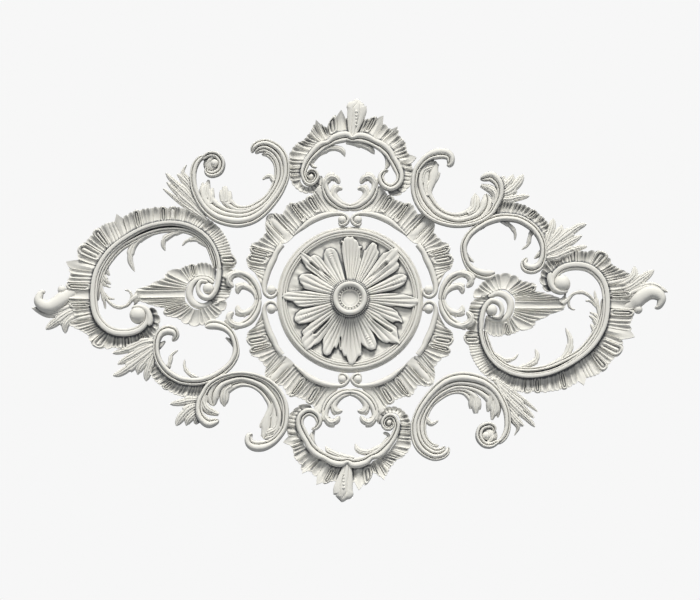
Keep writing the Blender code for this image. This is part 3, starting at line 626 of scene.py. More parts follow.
class MedallionOperator(bpy.types.Operator):
    """Carves the round medallion: rim, rippled field, sixteen leaves and hub"""
    bl_idname = "rosette.medallion"
    bl_label = "Medallion"

    def execute(self, context):
        rim = np.array(table("""
            0.3 12, 16 12, 30 11.5, 45 10, 56 9.5, 61 10.5, 62.8 12, 63.2 15.5, 63.7 17.4, 64.3 17.4, 64.6 15.4,
            65 15.4, 65.4 18.2, 66.2 18.8, 66.8 18.2, 67.1 15.9, 67.5 15.9, 67.9 19.2, 68.6 19.8, 69.4 19.6,
            70.1 18.8, 70.4 16.4, 70.8 16.4, 71.1 17.2, 71.4 15.2, 71.7 14.4, 72 15, 72.4 13.4, 73 12.6,
            73.2 11.5, 73.2 0, 0.3 0"""))
        run = np.concatenate([[0], np.cumsum(np.minimum(np.linalg.norm(np.diff(rim, axis=0), axis=1), 20))])
        stops = np.unique(np.concatenate([np.arange(0, run[-3], 1.0), run]))
        fine, high = (np.interp(stops, run, rim[:, k]) for k in (0, 1))

        def ripple(radius, angle):
            """Soft folds of the field that run out from the hub and die away before the rim."""
            window = np.clip((radius - 20) / 15, 0, 1) * np.clip((63 - radius) / 6, 0, 1)
            fold = np.sin(32 * angle + 2 * np.sin(5 * angle)) + 0.6 * np.sin(56 * angle + radius / 9)
            return 1.1 * window * fold * (stops < run[-3])[:, None]

        hub = table("""
            0.3 30, 4 30.5, 6.5 32, 8.1 34.6, 8.6 36.8, 9.1 37.3, 9.5 35.4, 10.1 35.2, 11.2 37.6, 12 40.8,
            12.6 43.6, 13.6 45.5, 14.8 46, 15.9 45.2, 16.6 43.2, 16.9 40.5, 17 36.5, 17.2 34.5, 17.9 34.2,
            18.3 32.6, 18.3 4, 0.3 4""")
        count = 3 * len(hub) - 2
        steps = np.linspace(0, len(hub) - 1, count)
        hub_line = np.column_stack([np.interp(steps, np.arange(len(hub)), np.array(hub)[:, k]) for k in (0, 1)])
        solids = [turned(CENTRE, np.column_stack([fine, high]), 288, ripple), turned(CENTRE, hub_line, 96)]
        for number in range(22):
            solids.append(boss(*polar(360 / 22 * number, 10.7), 1.1, 39.6, flat=0.95, segments=10))
        for number in range(60):
            solids.append(boss(*polar(6 * number, 18.1), 0.75, 35.2, flat=0.95, segments=8))
        solids += [leaf(veins, edge, (0.0, 1.4)[number % 2]) for number, (veins, edge) in enumerate(LEAVES)]
        carve("medallion", solids, "medallion")
        return {"FINISHED"}


LYRE = table("""
    351 208.6 4.5 20, 344 208 6 21, 337.5 205 7.5 22, 330.5 199 8 22.5, 326.3 192 7.5 22.5, 325 185 6.5 22,
    327 179.6 5.5 22, 332 177 5.2 22, 336.5 179 4.5 21, 338 182 3 18""")
LYRE_HOOK = table("""
    350.5 205.5 2 17, 343 203.5 4 19, 336.5 199 6.4 19.5, 333.8 193.5 6.6 20, 336.3 189 5.6 20, 341 188.5 3 17""")
SIDE_LYRE = table("""
    259.5 301 4.5 20, 258.5 295 6 21, 256 288 7.5 22, 250.5 280 8 22.5, 243 275.5 7 22.5, 236 274.5 6 22,
    230.5 277.5 5.5 22, 228.8 282.5 5 21, 232 285.5 3 18""")
LYRE_LEAVES = [(table("325 189 5 20, 325.4 182.5 9 23, 330 177.2 9.5 24.5, 336 178.4 7.5 24.5, 339.5 183.5 2 20"), 0),
               (table("335 198.5 5 19, 333.3 192.8 9 21, 336.5 188 7.5 21, 342.5 189 1.5 17"), 0),
               (table("""244 275.6 5 20, 236 274.4 9 23, 229.8 277.8 9.5 24.5, 229.2 283.5 7.5 24.5,
                        233.5 287.8 2 20"""), 1),
               (table("248.5 288.8 5 19, 242.6 286.6 9 21, 237.8 289.2 7.5 21, 238 294.6 1.5 17"), 1)]
SIDE_HOOK = table("""
    256 300.8 2 17, 254 294 4 19, 249.5 289 6 19.5, 243 287 6 20, 238.5 289.3 5 19.5, 240 293 2.6 16""")


MOULDING = table("""
    338.5 222 1.5 17, 341 225.6 2.8 20, 346 224.3 3 22, 348.3 220 3.2 22, 345.5 215.8 3.4 22, 340 213.9 3.8 21,
    330 214.5 5 21, 320 217.2 6 21, 310 222 6 20, 303 227.5 4.5 19, 297 232.5 2.5 17, 293.5 236 1.2 15""")
SIDE_MOULDING = table("""
    276 289 1.4 17, 277.3 292.5 2.2 20, 274.5 296.8 2.8 22, 269.5 297.8 3 22, 265.3 294.5 3.6 22, 264.2 288 5 21,
    265.8 280 5.6 21, 268.5 271 6 21, 271 265 6.3 21, 274.2 258.5 6 20, 276 254 5.4 20, 278.8 249.3 5.6 20,
    282 245 6 18""")
RING_EDGE = table("""
    338 211.5 322 187, 330 212 316 191, 323 213.5 312.5 196, 316 215.8 305.5 200.5, 311 218.5 297.5 203.5,
    304 227 289 205.5, 298.5 232 283 215, 294 236.5 274 214.5, 286.5 243 266.5 221.5, 279 244.5 266 229,
    277.5 246 266.5 234, 276.5 250 259 242.5, 275 253.5 252 246.5, 272 258.5 252 254, 268 266.5 248 263,
    265.5 273 249.5 268.5, 263.5 281 256 274.5, 262 289 260.5 284""")


class RingOperator(bpy.types.Operator):
    """Carves the ring: inner moulding, shell edge, four lyres and eight volute balls"""
    bl_idname = "rosette.ring"
    bl_label = "Ring"

    def execute(self, context):
        solids = []
        for flip in ([], [0], [1], [0, 1]):
            rows, lines = np.array(RING_EDGE, float), [MOULDING, SIDE_MOULDING]
            for axis in flip:
                rows[:, [axis, axis + 2]] = 2 * CENTRE[axis] - rows[:, [axis, axis + 2]]
                lines = [mirrored(line, axis) for line in lines]
            solids.append(rocaille(rows, "i|nn|U|nn|nU|nn|nn|b|in|n|nn|n|U|U|nn|ii|i", inner=14))
            solids += [band(lines[0]), band(lines[1], ends=(True, False))]
        for run, axis in ((LYRE, 0), (SIDE_LYRE, 1), (LYRE_HOOK, 0), (SIDE_HOOK, 1)):
            rolls = ((-1.0, 0.3, 1.0), (0.3, 1.0, 0.8))
            flipped = tuple((-high, -low, top) for low, high, top in rolls[::-1])
            for line, form in ((run, rolls), (mirrored(run, axis), flipped),
                               (turned_over(run), rolls), (turned_over(mirrored(run, axis)), flipped)):
                solids.append(band(line, form if run in (LYRE, SIDE_LYRE) else ROUND))
        for across, down, radius, high in ((342.3, 220.3, 4.2, 24), (271.4, 290.8, 4.4, 24)):
            for x in (across, 2 * CENTRE[0] - across):
                for y in (down, 2 * CENTRE[1] - down):
                    solids.append(boss(x, y, radius, high))
        for run, axis in LYRE_LEAVES:
            other = mirrored(run, axis)
            for line in (run, other, turned_over(run), turned_over(other)):
                solids.append(blade(line, 3, cut=0.35, flutes=3, step=0.7))
        carve("ring", solids, "ring")
        return {"FINISHED"}


CREST_ARCH = table("""
    309 178 2 22, 307 174.5 2.8 24, 310 171 3.4 25, 315 171.8 4 25, 317.2 177 4.5 25, 313 183 5 25,
    306.5 182.5 5.2 25, 303 174 5.5 25, 305.5 165 6.8 24, 309.5 158 7.3 24, 316 150.5 9.3 24, 322 145.5 9.3 24,
    328.8 143 6.6 24, 335.5 138.5 10 24, 346 136.3 10.4 24, 352 138.8 6 24, 359 137.3 9.8 24, 367 138.8 10 24,
    374.5 142.6 8.6 24, 382 146.5 10 24, 388.5 152.5 9.6 24, 392.3 159 8.3 24, 396.5 166 9.2 24, 400 175 7.8 25,
    398.5 183 7.6 26, 391.5 187.8 7.6 26, 384 184.8 7.2 26, 380.8 177.5 6.4 25, 384 171.8 4.2 22, 388.5 170.5 2 18""")


class CrestOperator(bpy.types.Operator):
    """Carves the two arched crests with their shell edge and palmette"""
    bl_idname = "rosette.crests"
    bl_label = "Crests"

    def execute(self, context):
        left = table("""
            318.5 175 321.5 176, 315.5 183 320 185.5, 311 186.5 314 191, 305 186.5 303 191.3, 301 182.5 295 185.5,
            300.5 176 290.5 176, 302 168.5 289.5 168, 303.5 159.5 290.5 158, 307 154 292.5 151,
            310.5 149 297.5 143.5, 315 144.5 304 140.5, 319.5 141.5 309.5 134, 323.5 139.8 315 124.5,
            327 138.8 320.5 124, 330 136 327.5 127.5, 338 133.2 336.5 116.5, 345 131.5 345.5 118,
            350 134 348.5 121""")
        right = table("""
            355 135.5 361 120, 360 133 366 119.5, 368 134.5 377 118, 375 137.5 383 124, 379 140 388 128.5,
            384 141.5 397 130, 388 144.5 398 135.5, 392 149.5 404 141.5, 395.5 154.5 406 150.5, 397 159 409 154.5,
            400.5 163 410.5 163.5, 402 168 412.5 170, 403 176 412 177, 401.5 184 409.5 184.5, 396.5 189.5 401 192,
            388 190.5 388.5 193""")
        solids = [
            band(CREST_ARCH, ((-1, -0.3, 0.85), (-0.2, 1.0, 1.0)), count=12, valley=0.6),
            rocaille(left, "i|ii|ii|ii|nn|inn|inn|n|ni|nn|nn|iin|v|nn|U|v|n"),
            rocaille(right, "n|nU|v|n|nv|n|ni|nn|ni|v|ni|ni|ii|ii|i"),
            blade(table("""352.5 139 6 20, 353.3 130 12 20, 354.8 121 17 21, 356.3 113 20 22, 356.6 108.5 19 22,
                          357.6 105.5 12.5 21, 359 102.6 9.5 19, 360.6 100.8 5 14"""), 0,
                  flutes=3, groove=2.4, rim=0.2),
            boss(310.5, 177.3, 5.5, 18), boss(311, 177, 2.4, 22),
            blade(table("380 147 5 14, 386.5 155 5.5 15, 388 163 5 14, 385.5 169 1.5 10"), 0, flutes=2),
            blade(table("""311.5 162 6 15, 318 153.5 7 17, 327 149 7 17, 335 147.5 6.5 16, 342 150 5.5 14,
                          345 156 1.5 8"""), 2, 0.3, 0.5, groove=2.6),
            blade(table("346 142 4 15, 355 142.5 7 16, 363 145 7 16, 370.5 148.5 6 14, 374.5 153.5 1.5 8"),
                  2, 0.3, 0.5, groove=2.6),
            band(table("310 160 4 15, 312.5 165.5 3.4 14, 317 167 2.6 12")),
        ]
        for step in range(5):
            solids.append(boss(356.3, 111.5 + 3.4 * step, 1.5 - 0.15 * step, 24.5 - 0.7 * step, flat=0.9, segments=10))
        carve("crest", solids, "crest_north", "crest_south")
        return {"FINISHED"}


class NorthwestOperator(bpy.types.Operator):
    """Carves the two large C-scrolls of three nested bands with their leaf sprays"""
    bl_idname = "rosette.large_scrolls"
    bl_label = "Large scrolls"

    def execute(self, context):
        outer = table("""
            206 157 3 24, 200 158.5 5 26, 195 165 6.5 26, 192.8 175 6.5 26, 194.5 190 6.8 26, 203 207 7.5 26,
            216 218 8.5 27, 233 222.8 9.5 27, 246 222 9 27, 257 217.5 8.3 27, 268 208 7.5 26, 278.5 194.5 6.8 26,
            285 181 6.3 26, 286.5 170 6.5 26, 284.6 158 7 27, 278.5 148.5 7 27, 268 142.5 6.5 26, 259 143 6 25,
            253.5 147 5.5 24, 251.8 152.5 3 18""")
        middle = table("""
            208 184 5 15, 205.5 190 11 19, 207.5 199 13 21, 214 206.5 12 22, 226 212.5 8.8 22, 241.5 214.5 7.8 22,
            253.5 211 7.3 22, 265 203 6.8 21, 274 191.5 6.8 21, 279.5 180 7 21, 280.5 170.5 6.5 22,
            278.5 161 6.5 23, 273.5 153.5 6.5 23, 266 149 6.5 23, 259.5 149.5 6 22, 255 153 3 18""")
        inner = table("""
            225 189 6 15, 225 194 10 17, 227 201 11 18, 236 208 7 18, 248 208 5 18, 260 202 5 17, 269 194 5 16,
            274.5 183 5 17, 276.5 172 5 19, 274.5 162 4.5 20, 268.5 155 4.5 20, 261.5 154 2 17""")
        knob = table("""
            207 166.5 2.5 22, 206.5 172 5 24, 212 174.5 6.5 27, 219.5 171 7 29, 221.5 162.5 7 30,
            216.5 155.5 6.5 30, 209 154.5 6 29, 201.5 159 4.5 27""")
        solids = [band(outer, ((-1, -0.35, 0.9), (-0.35, 1, 1.0)), valley=0.6), band(middle, TWO_ROLLS),
                  band(inner, TWO_ROLLS), band(knob, ((-1, 0, 1.0), (0, 1, 0.9))),
                  boss(212, 164, 9, 22), boss(214.5, 163.5, 4, 28)]
        for line in (
                table("262 179 2 12, 269 176 5 16, 274 181 5 17"),
                table("203 200 6 19, 202 191 5.5 18, 202.5 182.5 1.5 13"),
                table("206 199 7 20, 206.5 189 7 19, 208.5 180 2 14"),
                table("210 204 7 21, 211 196 6.5 20, 212.5 188 2 14"),
                table("223 202 6 18, 221.5 195 5 17, 221 190 2 12"),
                table("226 202 7 19, 225 193 7 19, 224.5 186.5 4 15"),
                table("229 204 6 18, 229.5 197 5 17, 230 191 2 12"),
                table("213 157 4 24, 209 161 5 23, 206 168 2 18")):
            solids.append(blade(line, teeth=0, flutes=2, groove=2))
        for line, teeth in (
                (table("207 221 5 17, 195 213 7 16, 181 203 6 14, 163 188.5 2 9"), 2),
                (table("205 218 7 18, 194 208 10 17, 181 196.5 9 16, 166.5 182 2 11"), 3),
                (table("203 215 7 18, 195 203 10 18, 184 191 10 17, 172 180 6 14, 165.5 173 2 11"), 3),
                (table("201 210 6 19, 196.5 197 9 18, 189.5 186 9 17, 181 177 6 15, 177 174 3 11"), 1),
                (table("198 204 5 19, 194.5 192 7 18, 188 181 7 17, 182.5 172.5 4 14, 186 164.5 1.5 9"), 1),
                (table("197 200 4 18, 193 188 5 17, 190.5 178 2 11"), 0)):
            solids.append(blade(line, teeth, 0.3, 0.5, flutes=3, groove=3))
        carve("large_scroll", solids, "scroll_northwest", "scroll_southeast")
        return {"FINISHED"}


class SouthwestOperator(bpy.types.Operator):
    """Carves the two second C-scrolls with their cut leaf ends"""
    bl_idname = "rosette.small_scrolls"
    bl_label = "Small scrolls"

    def execute(self, context):
        outer = table("""
            253 435.5 3 20, 249.5 437.5 7 25, 249.5 443.5 8.5 27, 254 447 10 27, 262 447.3 10.5 27,
            270.5 444.5 8.5 27, 277.5 439 7 27, 283.8 430 6.5 27, 286 419 6.5 27, 285.5 407 6 26,
            281.5 396 5.5 26, 274.5 387 5.5 26, 264 380 5 26, 251 376 5 26, 240 375 4.5 26, 229 376.5 4.5 26,
            218 380.5 5 26, 209 387 5.5 26, 204 395 6 26, 200 404 6.5 27, 199.8 413 7.5 28, 203 420 9 29,
            209 424.3 9.5 29, 215.5 423 7 27, 219.5 421.5 3 22""")
        middle = table("""
            214 407 5 14, 213 399 12 19, 216 390 11 21, 223.5 383 9.5 21, 239 378.5 8 21, 251 380 8.5 21,
            263.5 385.5 9.5 21, 272.5 394.5 9.5 21, 278.3 404.5 9.5 20, 281.5 417 9 20, 279.5 429 7 18,
            272 441 3 15""")
        inner = table("""
            224 399 7 12, 227 391 9 15, 238 385 7.5 17, 250 385.5 5.5 17, 260 390.5 6 16, 267 398 7 16,
            272 408 8.5 16, 270.5 420 14 16, 269 430 16 15, 264 440 6 12""")
        solids = [band(outer, ((-1, 0.35, 1.0), (0.35, 1, 0.9)), valley=0.6), band(middle, TWO_ROLLS),
                  band(inner, TWO_ROLLS)]
        for line, teeth in (
                (table("279 418 8 18, 277 429 9 18, 270 433.5 8 16, 261 436.5 2 9"), 2),
                (table("281 428 7 18, 277 437 8 19, 270 440 6 16, 265 439.5 1.5 9"), 1),
                (table("272 405 8 17, 271 414 9 16, 266 421 8 14, 260 428.5 2 9"), 2),
                (table("232 387 8 18, 226 391.5 11 17, 224.5 400 9 15, 224.5 407.5 2 9"), 1),
                (table("206 396 7 22, 204.5 404 8 24, 208.5 411 8 24, 219 415.5 3 16"), 0)):
            solids.append(blade(line, teeth, flutes=3, groove=3, cut=0.2))
        for line, teeth in (
                (table("201 401 6 18, 190 401.5 10 17, 181 403.5 8 15, 170.5 405 2 10"), 2),
                (table("200 405.5 7 18, 190 410 11.5 17, 182 418 10 15, 176.5 426.5 2.5 10"), 2),
                (table("200 411 7 18, 194 416 9 17, 189 421 7 15, 186.5 426.5 2 10"), 1),
                (table("201 415 6 18, 198 420 7 16, 195.5 425 2 10"), 0)):
            solids.append(blade(line, teeth, 0.3, 0.5, flutes=3, groove=3))
        carve("small_scroll", solids, "scroll_southwest", "scroll_northeast")
        return {"FINISHED"}


class SideOperator(bpy.types.Operator):
    """Carves the two long side scrolls: shell edge, inner shell, volutes, sprays, tendril and horn"""
    bl_idname = "rosette.sides"
    bl_label = "Side scrolls"

    def execute(self, context):
        edge = table("""
            221.5 271 233 268.5 4.5, 221.5 265 234.5 265 4.5, 220 255.5 231 255 4.5, 216.5 246 228 243.5 4.5,
            210.5 237 220 230 4.8, 203.5 231.5 213.5 224.5 5, 196 225.5 203 217 5, 184 221.8 187 210.5 5,
            175.5 221 176.5 208.5 5, 169 220.5 168.5 209 5, 157.5 222 157.5 208.5 5, 150 224 149.5 209.5 5,
            143.5 226 141 211 5, 135 230 132.5 213.5 5.2, 127 235 123 219 5.4, 121 238.5 114.5 222.5 5.6,
            113 244.5 104 226 5.8, 107 250 93 236 6, 103.5 254 86.5 243.5 6, 98.5 262.5 79 255 6.2,
            97 266 79 260.5 6.2, 93.5 272 70.5 269 6.4, 92.5 276 71.5 274.5 6.5, 91 283 68.5 283 6.6,
            90 292 68.5 290.5 6.8, 90 300 69 299.5 7, 90.5 310 74.5 312 7.2, 92 314.5 75.5 317 7.3,
            94 320.5 70.5 324.5 7.4, 97 325 80 330 7.5, 101 329.5 89.5 336 7.5, 104.5 332.3 92.5 342 7.5,
            110 336 105 347.5 7.5, 114 337.5 112.5 347.5 7.5, 122 338.6 122.5 348.5 7.5, 131 338 132.5 348 7.5,
            137 336.5 140.5 347 7.3, 144 333 148 342.5 7, 149 328 154 336 6.8, 151.7 321 158 324 6.5,
            151.7 314 156.5 315 6.3, 149 308.5 151.5 308.5 6""")
        rhythm = ("nn|U|iiii|iiiii|iin|nii|iinn|iin|b|iUi|ni|nn|iU|nn|v|iii|nU|nn|U|n|v|n|nn|U|w|nUn|n|b|nn|nnn|n"
                  "|U|n|nni|U|in|nU|nn|nn|n|n")
        rows = np.array(edge, float)
        outward = rows[:, 2:4] - rows[:, 0:2]
        outward /= np.linalg.norm(outward, axis=1)[:, None]
        travel = np.gradient(rows[:, :2], axis=0)
        across = np.column_stack([travel[:, 1], -travel[:, 0]]) / np.linalg.norm(travel, axis=1)[:, None]
        across *= np.sign(np.einsum("ij,ij->i", across, outward))[:, None]
        main = np.column_stack([rows[:, :2] - across * rows[:, 4:5] / 2, rows[:, 4], np.full(len(rows), 26.0)])
        rows[:, :2] -= across * rows[:, 4:5] / 2
        for _ in range(3):
            main[1:-1, :2] = (main[:-2, :2] + 2 * main[1:-1, :2] + main[2:, :2]) / 4
        volute = table("""
            208 283 3 22, 201 282.5 4 24, 198 289 4.5 25, 201 296.5 5 26, 209 299 5 26, 215.5 292 5 26,
            218.5 281 5 26, 219.2 269 4.5 25""")
        lower = table("""
            149.5 327 6.5 27, 150 319 6.3 28, 147 311.5 5.7 28, 141 308 4.6 27, 135.5 308 3.6 25, 132 309.5 1.5 20""")
        inner = table("""
            216 269 6 15, 214.8 258.5 9 18, 207.4 242 9.5 19, 190.7 230 10.5 19, 170 227.6 10 19, 150 231 10.5 19,
            129 240.2 11.5 19, 115.5 249.2 12.5 19, 103.3 266 11 19, 97.5 283 9 17, 96 302 6 14""")
        spread = table("""
            215 282 216.5 272, 209 277.5 208.5 265.5, 202 276.5 200 264.5, 198 277 196.5 266, 192 280 187 267,
            189.5 282 180.5 270.5, 187.5 284.5 167.5 274.5, 187 286 165.5 279, 186.5 288 159.5 281.5,
            186 289.5 151 286, 186 290.5 143 288.5, 185.5 291.5 137 292, 185 298 137 299, 185 300.5 147 303.5,
            185.5 302 160 307.5, 186.5 303.5 166 308.5, 188.5 305.5 166 315.5, 191 308 177.5 318,
            195 310.5 189 324, 201 310.5 205 324, 207 308 215.5 318, 212 305.5 221.5 311.5, 216 303 225 302""")
        fluted = "nn|nn|n|iUi|nn|w|n|w|w|w|n|w|nn|nn|n|U|nn|nw|wn|nn|nn|n"
        right = table("""
            221 268 232 270, 220.5 277 231.5 279, 219 285 231 287, 217 292 230 292.5, 214 298 226 299,
            208 301 211 305""")
        collar = table("""
            214 284 4 15, 207 279.5 5 16, 198 280 6 16, 191.5 286 6.5 16, 189.5 296 7 16, 194 304 7 16,
            203 307 6 16, 212 303 5 15""")
        horn = table("""
            45.5 292 2.5 15, 41 294 6 20, 38.8 301 9.5 24, 43.2 306.3 12.5 26, 50.5 307.3 13.5 26, 58 303.3 14 25,
            64 298 13.5 22, 69 294.5 11 15, 76 291 7 8""")
        solids = [
            band(main, ((-1, 0.4, 1.0), (0.4, 1.0, 0.84)), valley=0.72, crown=5),
            band(volute, valley=0.65), band(lower, valley=0.65),
            band(inner, ((0.05, 0.62, 1.0), (0.62, 1.0, 0.85)), valley=0.4),
            rocaille(rows[:, :4], rhythm),
            rocaille(right, "n|nn|nn|ii|ii"),
            rocaille(spread, fluted, 15, 14, 4.6, 4),
            band(collar),
            boss(208.5, 289.5, 5.5, 28), boss(138.5, 316, 8.7, 33), boss(62, 290.5, 4.2, 19),
            band(horn, valley=0.4),
            blade(table("80 302 10 7, 66 308.5 13 15, 50 314 11 15, 32.3 308.5 2 9"), 2, flutes=3, groove=3),
            blade(table("82 308 10 7, 69 313.5 13 15, 57 322 12 15, 46 330 2 9"), 3, flutes=4, groove=3),
            blade(table("84 315 10 7, 73 318.5 12 14, 66 325 9 15, 65.5 334 2 9"), 2, flutes=3, groove=3),
        ]
        for line in (
                table("154 233 5 15, 141 239 7 16, 132.5 248 8 15, 130 260 7 14, 134.5 272 1.2 8"),
                table("186 230 5 15, 174 234 6 16, 165 239 7 14, 163 245 5 12, 165 251 1.2 8"),
                table("206 246 5 15, 196 240 5 15, 187 241 4 12, 182 246 1.2 8"),
                table("113 254 8 16, 106.5 262 8 17, 105.5 269 7 15, 109.5 276 1.5 8"),
                table("102 268 6 15, 103.5 277 7 15, 107 282 4.5 13, 111 284.5 1.2 8"),
                table("101 277 4 15, 104 284.5 4 13, 110.5 288 1.2 8"),
                table("100.5 286 3.5 14, 102.5 296 4 14, 104.5 303 3.6 12, 105.5 309.5 1.2 8"),
                table("""101 284 3.5 14, 103 293 3.5 14, 108 301.5 4 15, 114 306.5 4 15, 120 308 4 15, 127 306 4 15,
                        132 300.5 4.5 16, 138 296.5 8 17"""),
                table("131 302 3 14, 131.5 295.5 3 14, 129 291.5 2.4 12, 125 290.5 1.2 8"),
                table("104 293 2.5 13, 109 298.5 3 13, 114.5 299.5 1.4 9"),
                table("140 298 7 16, 136.5 301 5 14, 134.5 306.5 1.2 8")):
            solids.append(blade(line, 3, 0.3, 0.5, groove=2.6))
        carve("side", solids, "side_west", "side_east")
        return {"FINISHED"}


class HookOperator(bpy.types.Operator):
    """Carves the two small hooked scrolls with shell edge, fronds and leaf spray"""
    bl_idname = "rosette.hooks"
    bl_label = "Hooked scrolls"

    def execute(self, context):
        main_line = table("""
            172.5 342 3 20, 176 337.5 6.5 24, 174 332.5 9 27, 167.5 331 9.5 27, 161 334 8.5 26, 157.5 341 7 26,
            156.5 349 6.5 26, 157.5 357 6.8 26, 161.5 366 7.5 26, 168.5 374 8 26, 180 380.8 8 26, 192 382.8 8 26,
            203 382 8 26, 216 377 7.5 26, 229 367.5 7 26, 235.5 357 7 26, 236 347 6.6 25, 232.5 336 6.6 25,
            226 329 8 24, 218 325.8 9.5 22, 211 325.5 9.5 20, 205 327.5 5.5 15""")
        edge = table("""
            154 344 147 347, 153.5 351 146.5 354, 154.5 360 147 362, 158 367.5 150 372, 163.5 374 155 379.5,
            168 378.3 160 385, 176 383 169 390.5, 183 385.5 177.5 395, 191 386.6 186.5 397.5,
            199 386.6 196.5 398.5, 206 385 206 394""")
        solids = [band(main_line, ((-1, -0.35, 0.85), (-0.35, 1, 1.0))),
                  rocaille(edge, "nn|bn|nn|nn|ni|nU|nn|nni|nnn|nn")]
        for line, teeth in (
                (table("155 342 6 18, 144 343.5 10 18, 132 349 10 16, 121 352.5 6 14, 113 354 2 10"), 3),
                (table("154.5 346 7 18, 143 351 11 18, 131 358 10 16, 118 365 2 10"), 2),
                (table("154.5 349 7 18, 143 358 11 18, 131 367 11.5 16, 121 374 7 14, 113.5 376.5 2 10"), 3),
                (table("154.5 352 6 18, 146 362 9 17, 140 369 8 15, 138 375.5 2 10"), 1),
                (table("155 353 6 18, 151 364 9 17, 148 373 9 15, 146.5 382 2 10"), 2)):
            solids.append(blade(line, teeth, 0.3, 0.5, flutes=3, groove=3))
        solids.append(blade(table("235 348 4 14, 232 343 4.5 14, 226 338.5 1.5 9"), 0))
        solids.append(blade(table("157 351 4 15, 161 346 4.5 15, 165.5 342 1.5 9"), 0))
        for line in (
                table("166 374 5 14, 170 364 5 15, 172 356 4 13, 178 351 1.2 8"),
                table("199 380 5 14, 190 375 5 15, 185 368 4 13, 185 360.5 1.2 8"),
                table("211 379 4 13, 217 373.5 3.5 12, 221 370.5 1.2 8")):
            solids.append(blade(line, 3, 0.3, 0.5, groove=2.6))
        carve("hook", solids, "hook_southwest", "hook_northeast")
        return {"FINISHED"}


class StageOperator(bpy.types.Operator):
    """Sets up the pale backdrop and floor, the soft lights and the camera"""
    bl_idname = "rosette.stage"
    bl_label = "Stage"

    def execute(self, context):
        choice, scene = settings(), context.scene
        pale = bpy.data.materials.new("backdrop_pale")
        pale.use_nodes = True
        shader = pale.node_tree.nodes["Principled BSDF"]
        shader.inputs["Base Color"].default_value = (0, 0, 0, 1)
        shader.inputs["Specular IOR Level"].default_value = 0.0
        shader.inputs["Roughness"].default_value = 1.0
        shader.inputs["Emission Color"].default_value = tuple(choice.backdrop) + (1.0,)
        shader.inputs["Emission Strength"].default_value = choice.backdrop_glow
        half, low = 30.0, -6.0
        floor = [(-half, -half, low), (half, -half, low), (half, half, low), (-half, half, low)]
        room = floor + [(x, y, half) for x, y, _ in floor]
        walls = [(4, 5, 1, 0), (5, 6, 2, 1), (6, 7, 3, 2), (7, 4, 0, 3), (7, 6, 5, 4)]
        for name, corners, faces in (("backdrop", room, walls), ("floor", floor, [(0, 1, 2, 3)])):
            mesh = bpy.data.meshes.new(name)
            mesh.from_pydata(corners, [], faces)
            mesh.materials.append(pale)
            sheet = bpy.data.objects.new(name, mesh)
            sheet.visible_diffuse = sheet.visible_glossy = sheet.visible_shadow = False
            scene.collection.objects.link(sheet)
        world = bpy.data.worlds.new("studio")
        world.use_nodes = True
        world.node_tree.nodes["Background"].inputs[0].default_value = tuple(choice.fill) + (1.0,)
        world.node_tree.nodes["Background"].inputs[1].default_value = choice.fill_strength
        scene.world = world
        for name, strength, towards in (("key", choice.key_strength, (0.04, -0.57, 0.82)),
                                        ("behind", choice.back_strength, (0.0, 1.0, 0.0))):
            light = bpy.data.lights.new(name, "SUN")
            light.energy, light.angle, light.color = strength, math.radians(18), (1.0, 0.985, 0.94)
            lamp = bpy.data.objects.new(name, light)
            lamp.rotation_euler = Vector(towards).to_track_quat("Z", "Y").to_euler()
            scene.collection.objects.link(lamp)
        lens = bpy.data.cameras.new("camera")
        camera = bpy.data.objects.new("camera", lens)
        rise = math.radians(choice.from_below)
        distance = choice.camera_distance
        away = Vector((0.0, -math.cos(rise), -math.sin(rise)))
        camera.location = away * distance
        camera.rotation_euler = away.to_track_quat("Z", "Y").to_euler()
        lens.sensor_width = 36.0
        lens.lens = 36.0 * distance / (SHEET[0] * choice.square)
        lens.clip_end = 100.0
        scene.view_settings.view_transform = "Standard"
        scene.collection.objects.link(camera)
        scene.camera = camera
        return {"FINISHED"}


def number(name, description, default, **kind):
    """A plain number in the sidebar."""
    return bpy.props.FloatProperty(name=name, description=description, default=default, **kind)


def colour(name, description, *default):
    """A colour in the sidebar."""
    return bpy.props.FloatVectorProperty(name=name, description=description, default=default, size=3,
                                         subtype="COLOR", min=0, max=1)


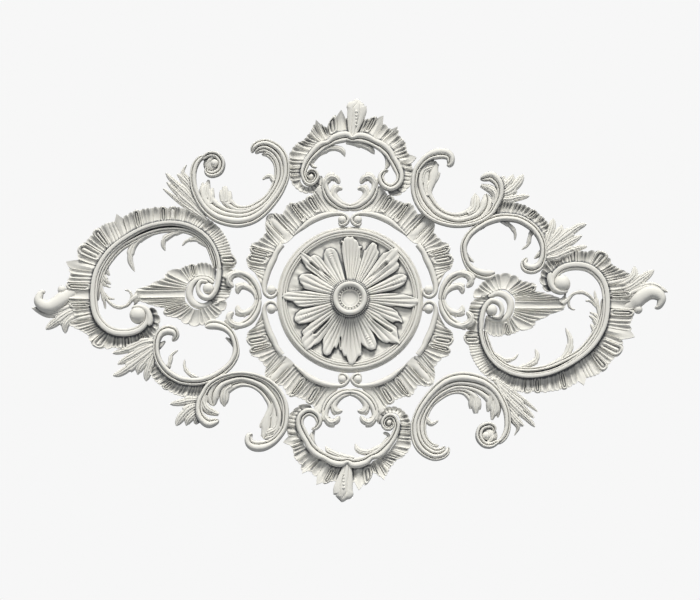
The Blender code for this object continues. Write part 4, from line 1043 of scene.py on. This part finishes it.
class RosetteSettings(bpy.types.PropertyGroup):
    """Sizes and colours of the rosette and its stage"""
    square: number("Square", "Side of one square of the setting-out sheet", 0.0022, unit="LENGTH", precision=5)
    plaster: colour("Plaster", "Colour of the plaster", 0.83, 0.815, 0.765)
    # Painted shade: the colour that hollows, creases and the foot of the walls are darkened towards.
    shade_colour: colour("Crevice", "Colour in the hollows", 0.16, 0.165, 0.175)
    # Tint that the convex crests of the relief are lightened towards.
    crest_colour: colour("Crest", "Colour on the crests of the relief", 0.93, 0.915, 0.86)
    backdrop: colour("Backdrop", "Colour of the backdrop and floor", 1.0, 1.0, 1.0)
    backdrop_glow: number("Backdrop glow", "Strength of the backdrop", 0.93)
    fill: colour("Fill light", "Colour of the soft light all round", 0.93, 0.96, 1.0)
    fill_strength: number("Fill strength", "Strength of the soft light", 0.3)
    key_strength: number("Key strength", "Strength of the light from above", 3.2)
    back_strength: number("Back strength", "Strength of the light on the back", 1.6)
    from_below: number("View from below", "Degrees that the camera looks up", 6.0)
    camera_distance: number("Camera distance", "From the centre of the back", 12.0, unit="LENGTH")


OPERATORS = (MedallionOperator, RingOperator, CrestOperator, NorthwestOperator, SouthwestOperator, SideOperator,
             HookOperator, StageOperator)


class RosettePanel(bpy.types.Panel):
    """Lists the castings and their settings"""
    bl_idname = "VIEW3D_PT_rosette"
    bl_label = "Ceiling rosette"
    bl_space_type = "VIEW_3D"
    bl_region_type = "UI"
    bl_category = "Rosette"

    def draw(self, context):
        for name in RosetteSettings.__annotations__:
            self.layout.prop(context.scene.rosette, name)
        for operator in OPERATORS:
            self.layout.operator(operator.bl_idname)


def register():
    for item in (RosetteSettings, *OPERATORS, RosettePanel):
        bpy.utils.register_class(item)
    bpy.types.Scene.rosette = bpy.props.PointerProperty(type=RosetteSettings)


def unregister():
    del bpy.types.Scene.rosette
    for item in (RosettePanel, *reversed(OPERATORS), RosetteSettings):
        bpy.utils.unregister_class(item)


def main():
    register()
    bpy.ops.rosette.medallion()
    bpy.ops.rosette.ring()
    bpy.ops.rosette.crests()
    bpy.ops.rosette.large_scrolls()
    bpy.ops.rosette.small_scrolls()
    bpy.ops.rosette.sides()
    bpy.ops.rosette.hooks()
    bpy.ops.rosette.stage()
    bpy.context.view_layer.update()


if __name__ == "__main__":
    main()
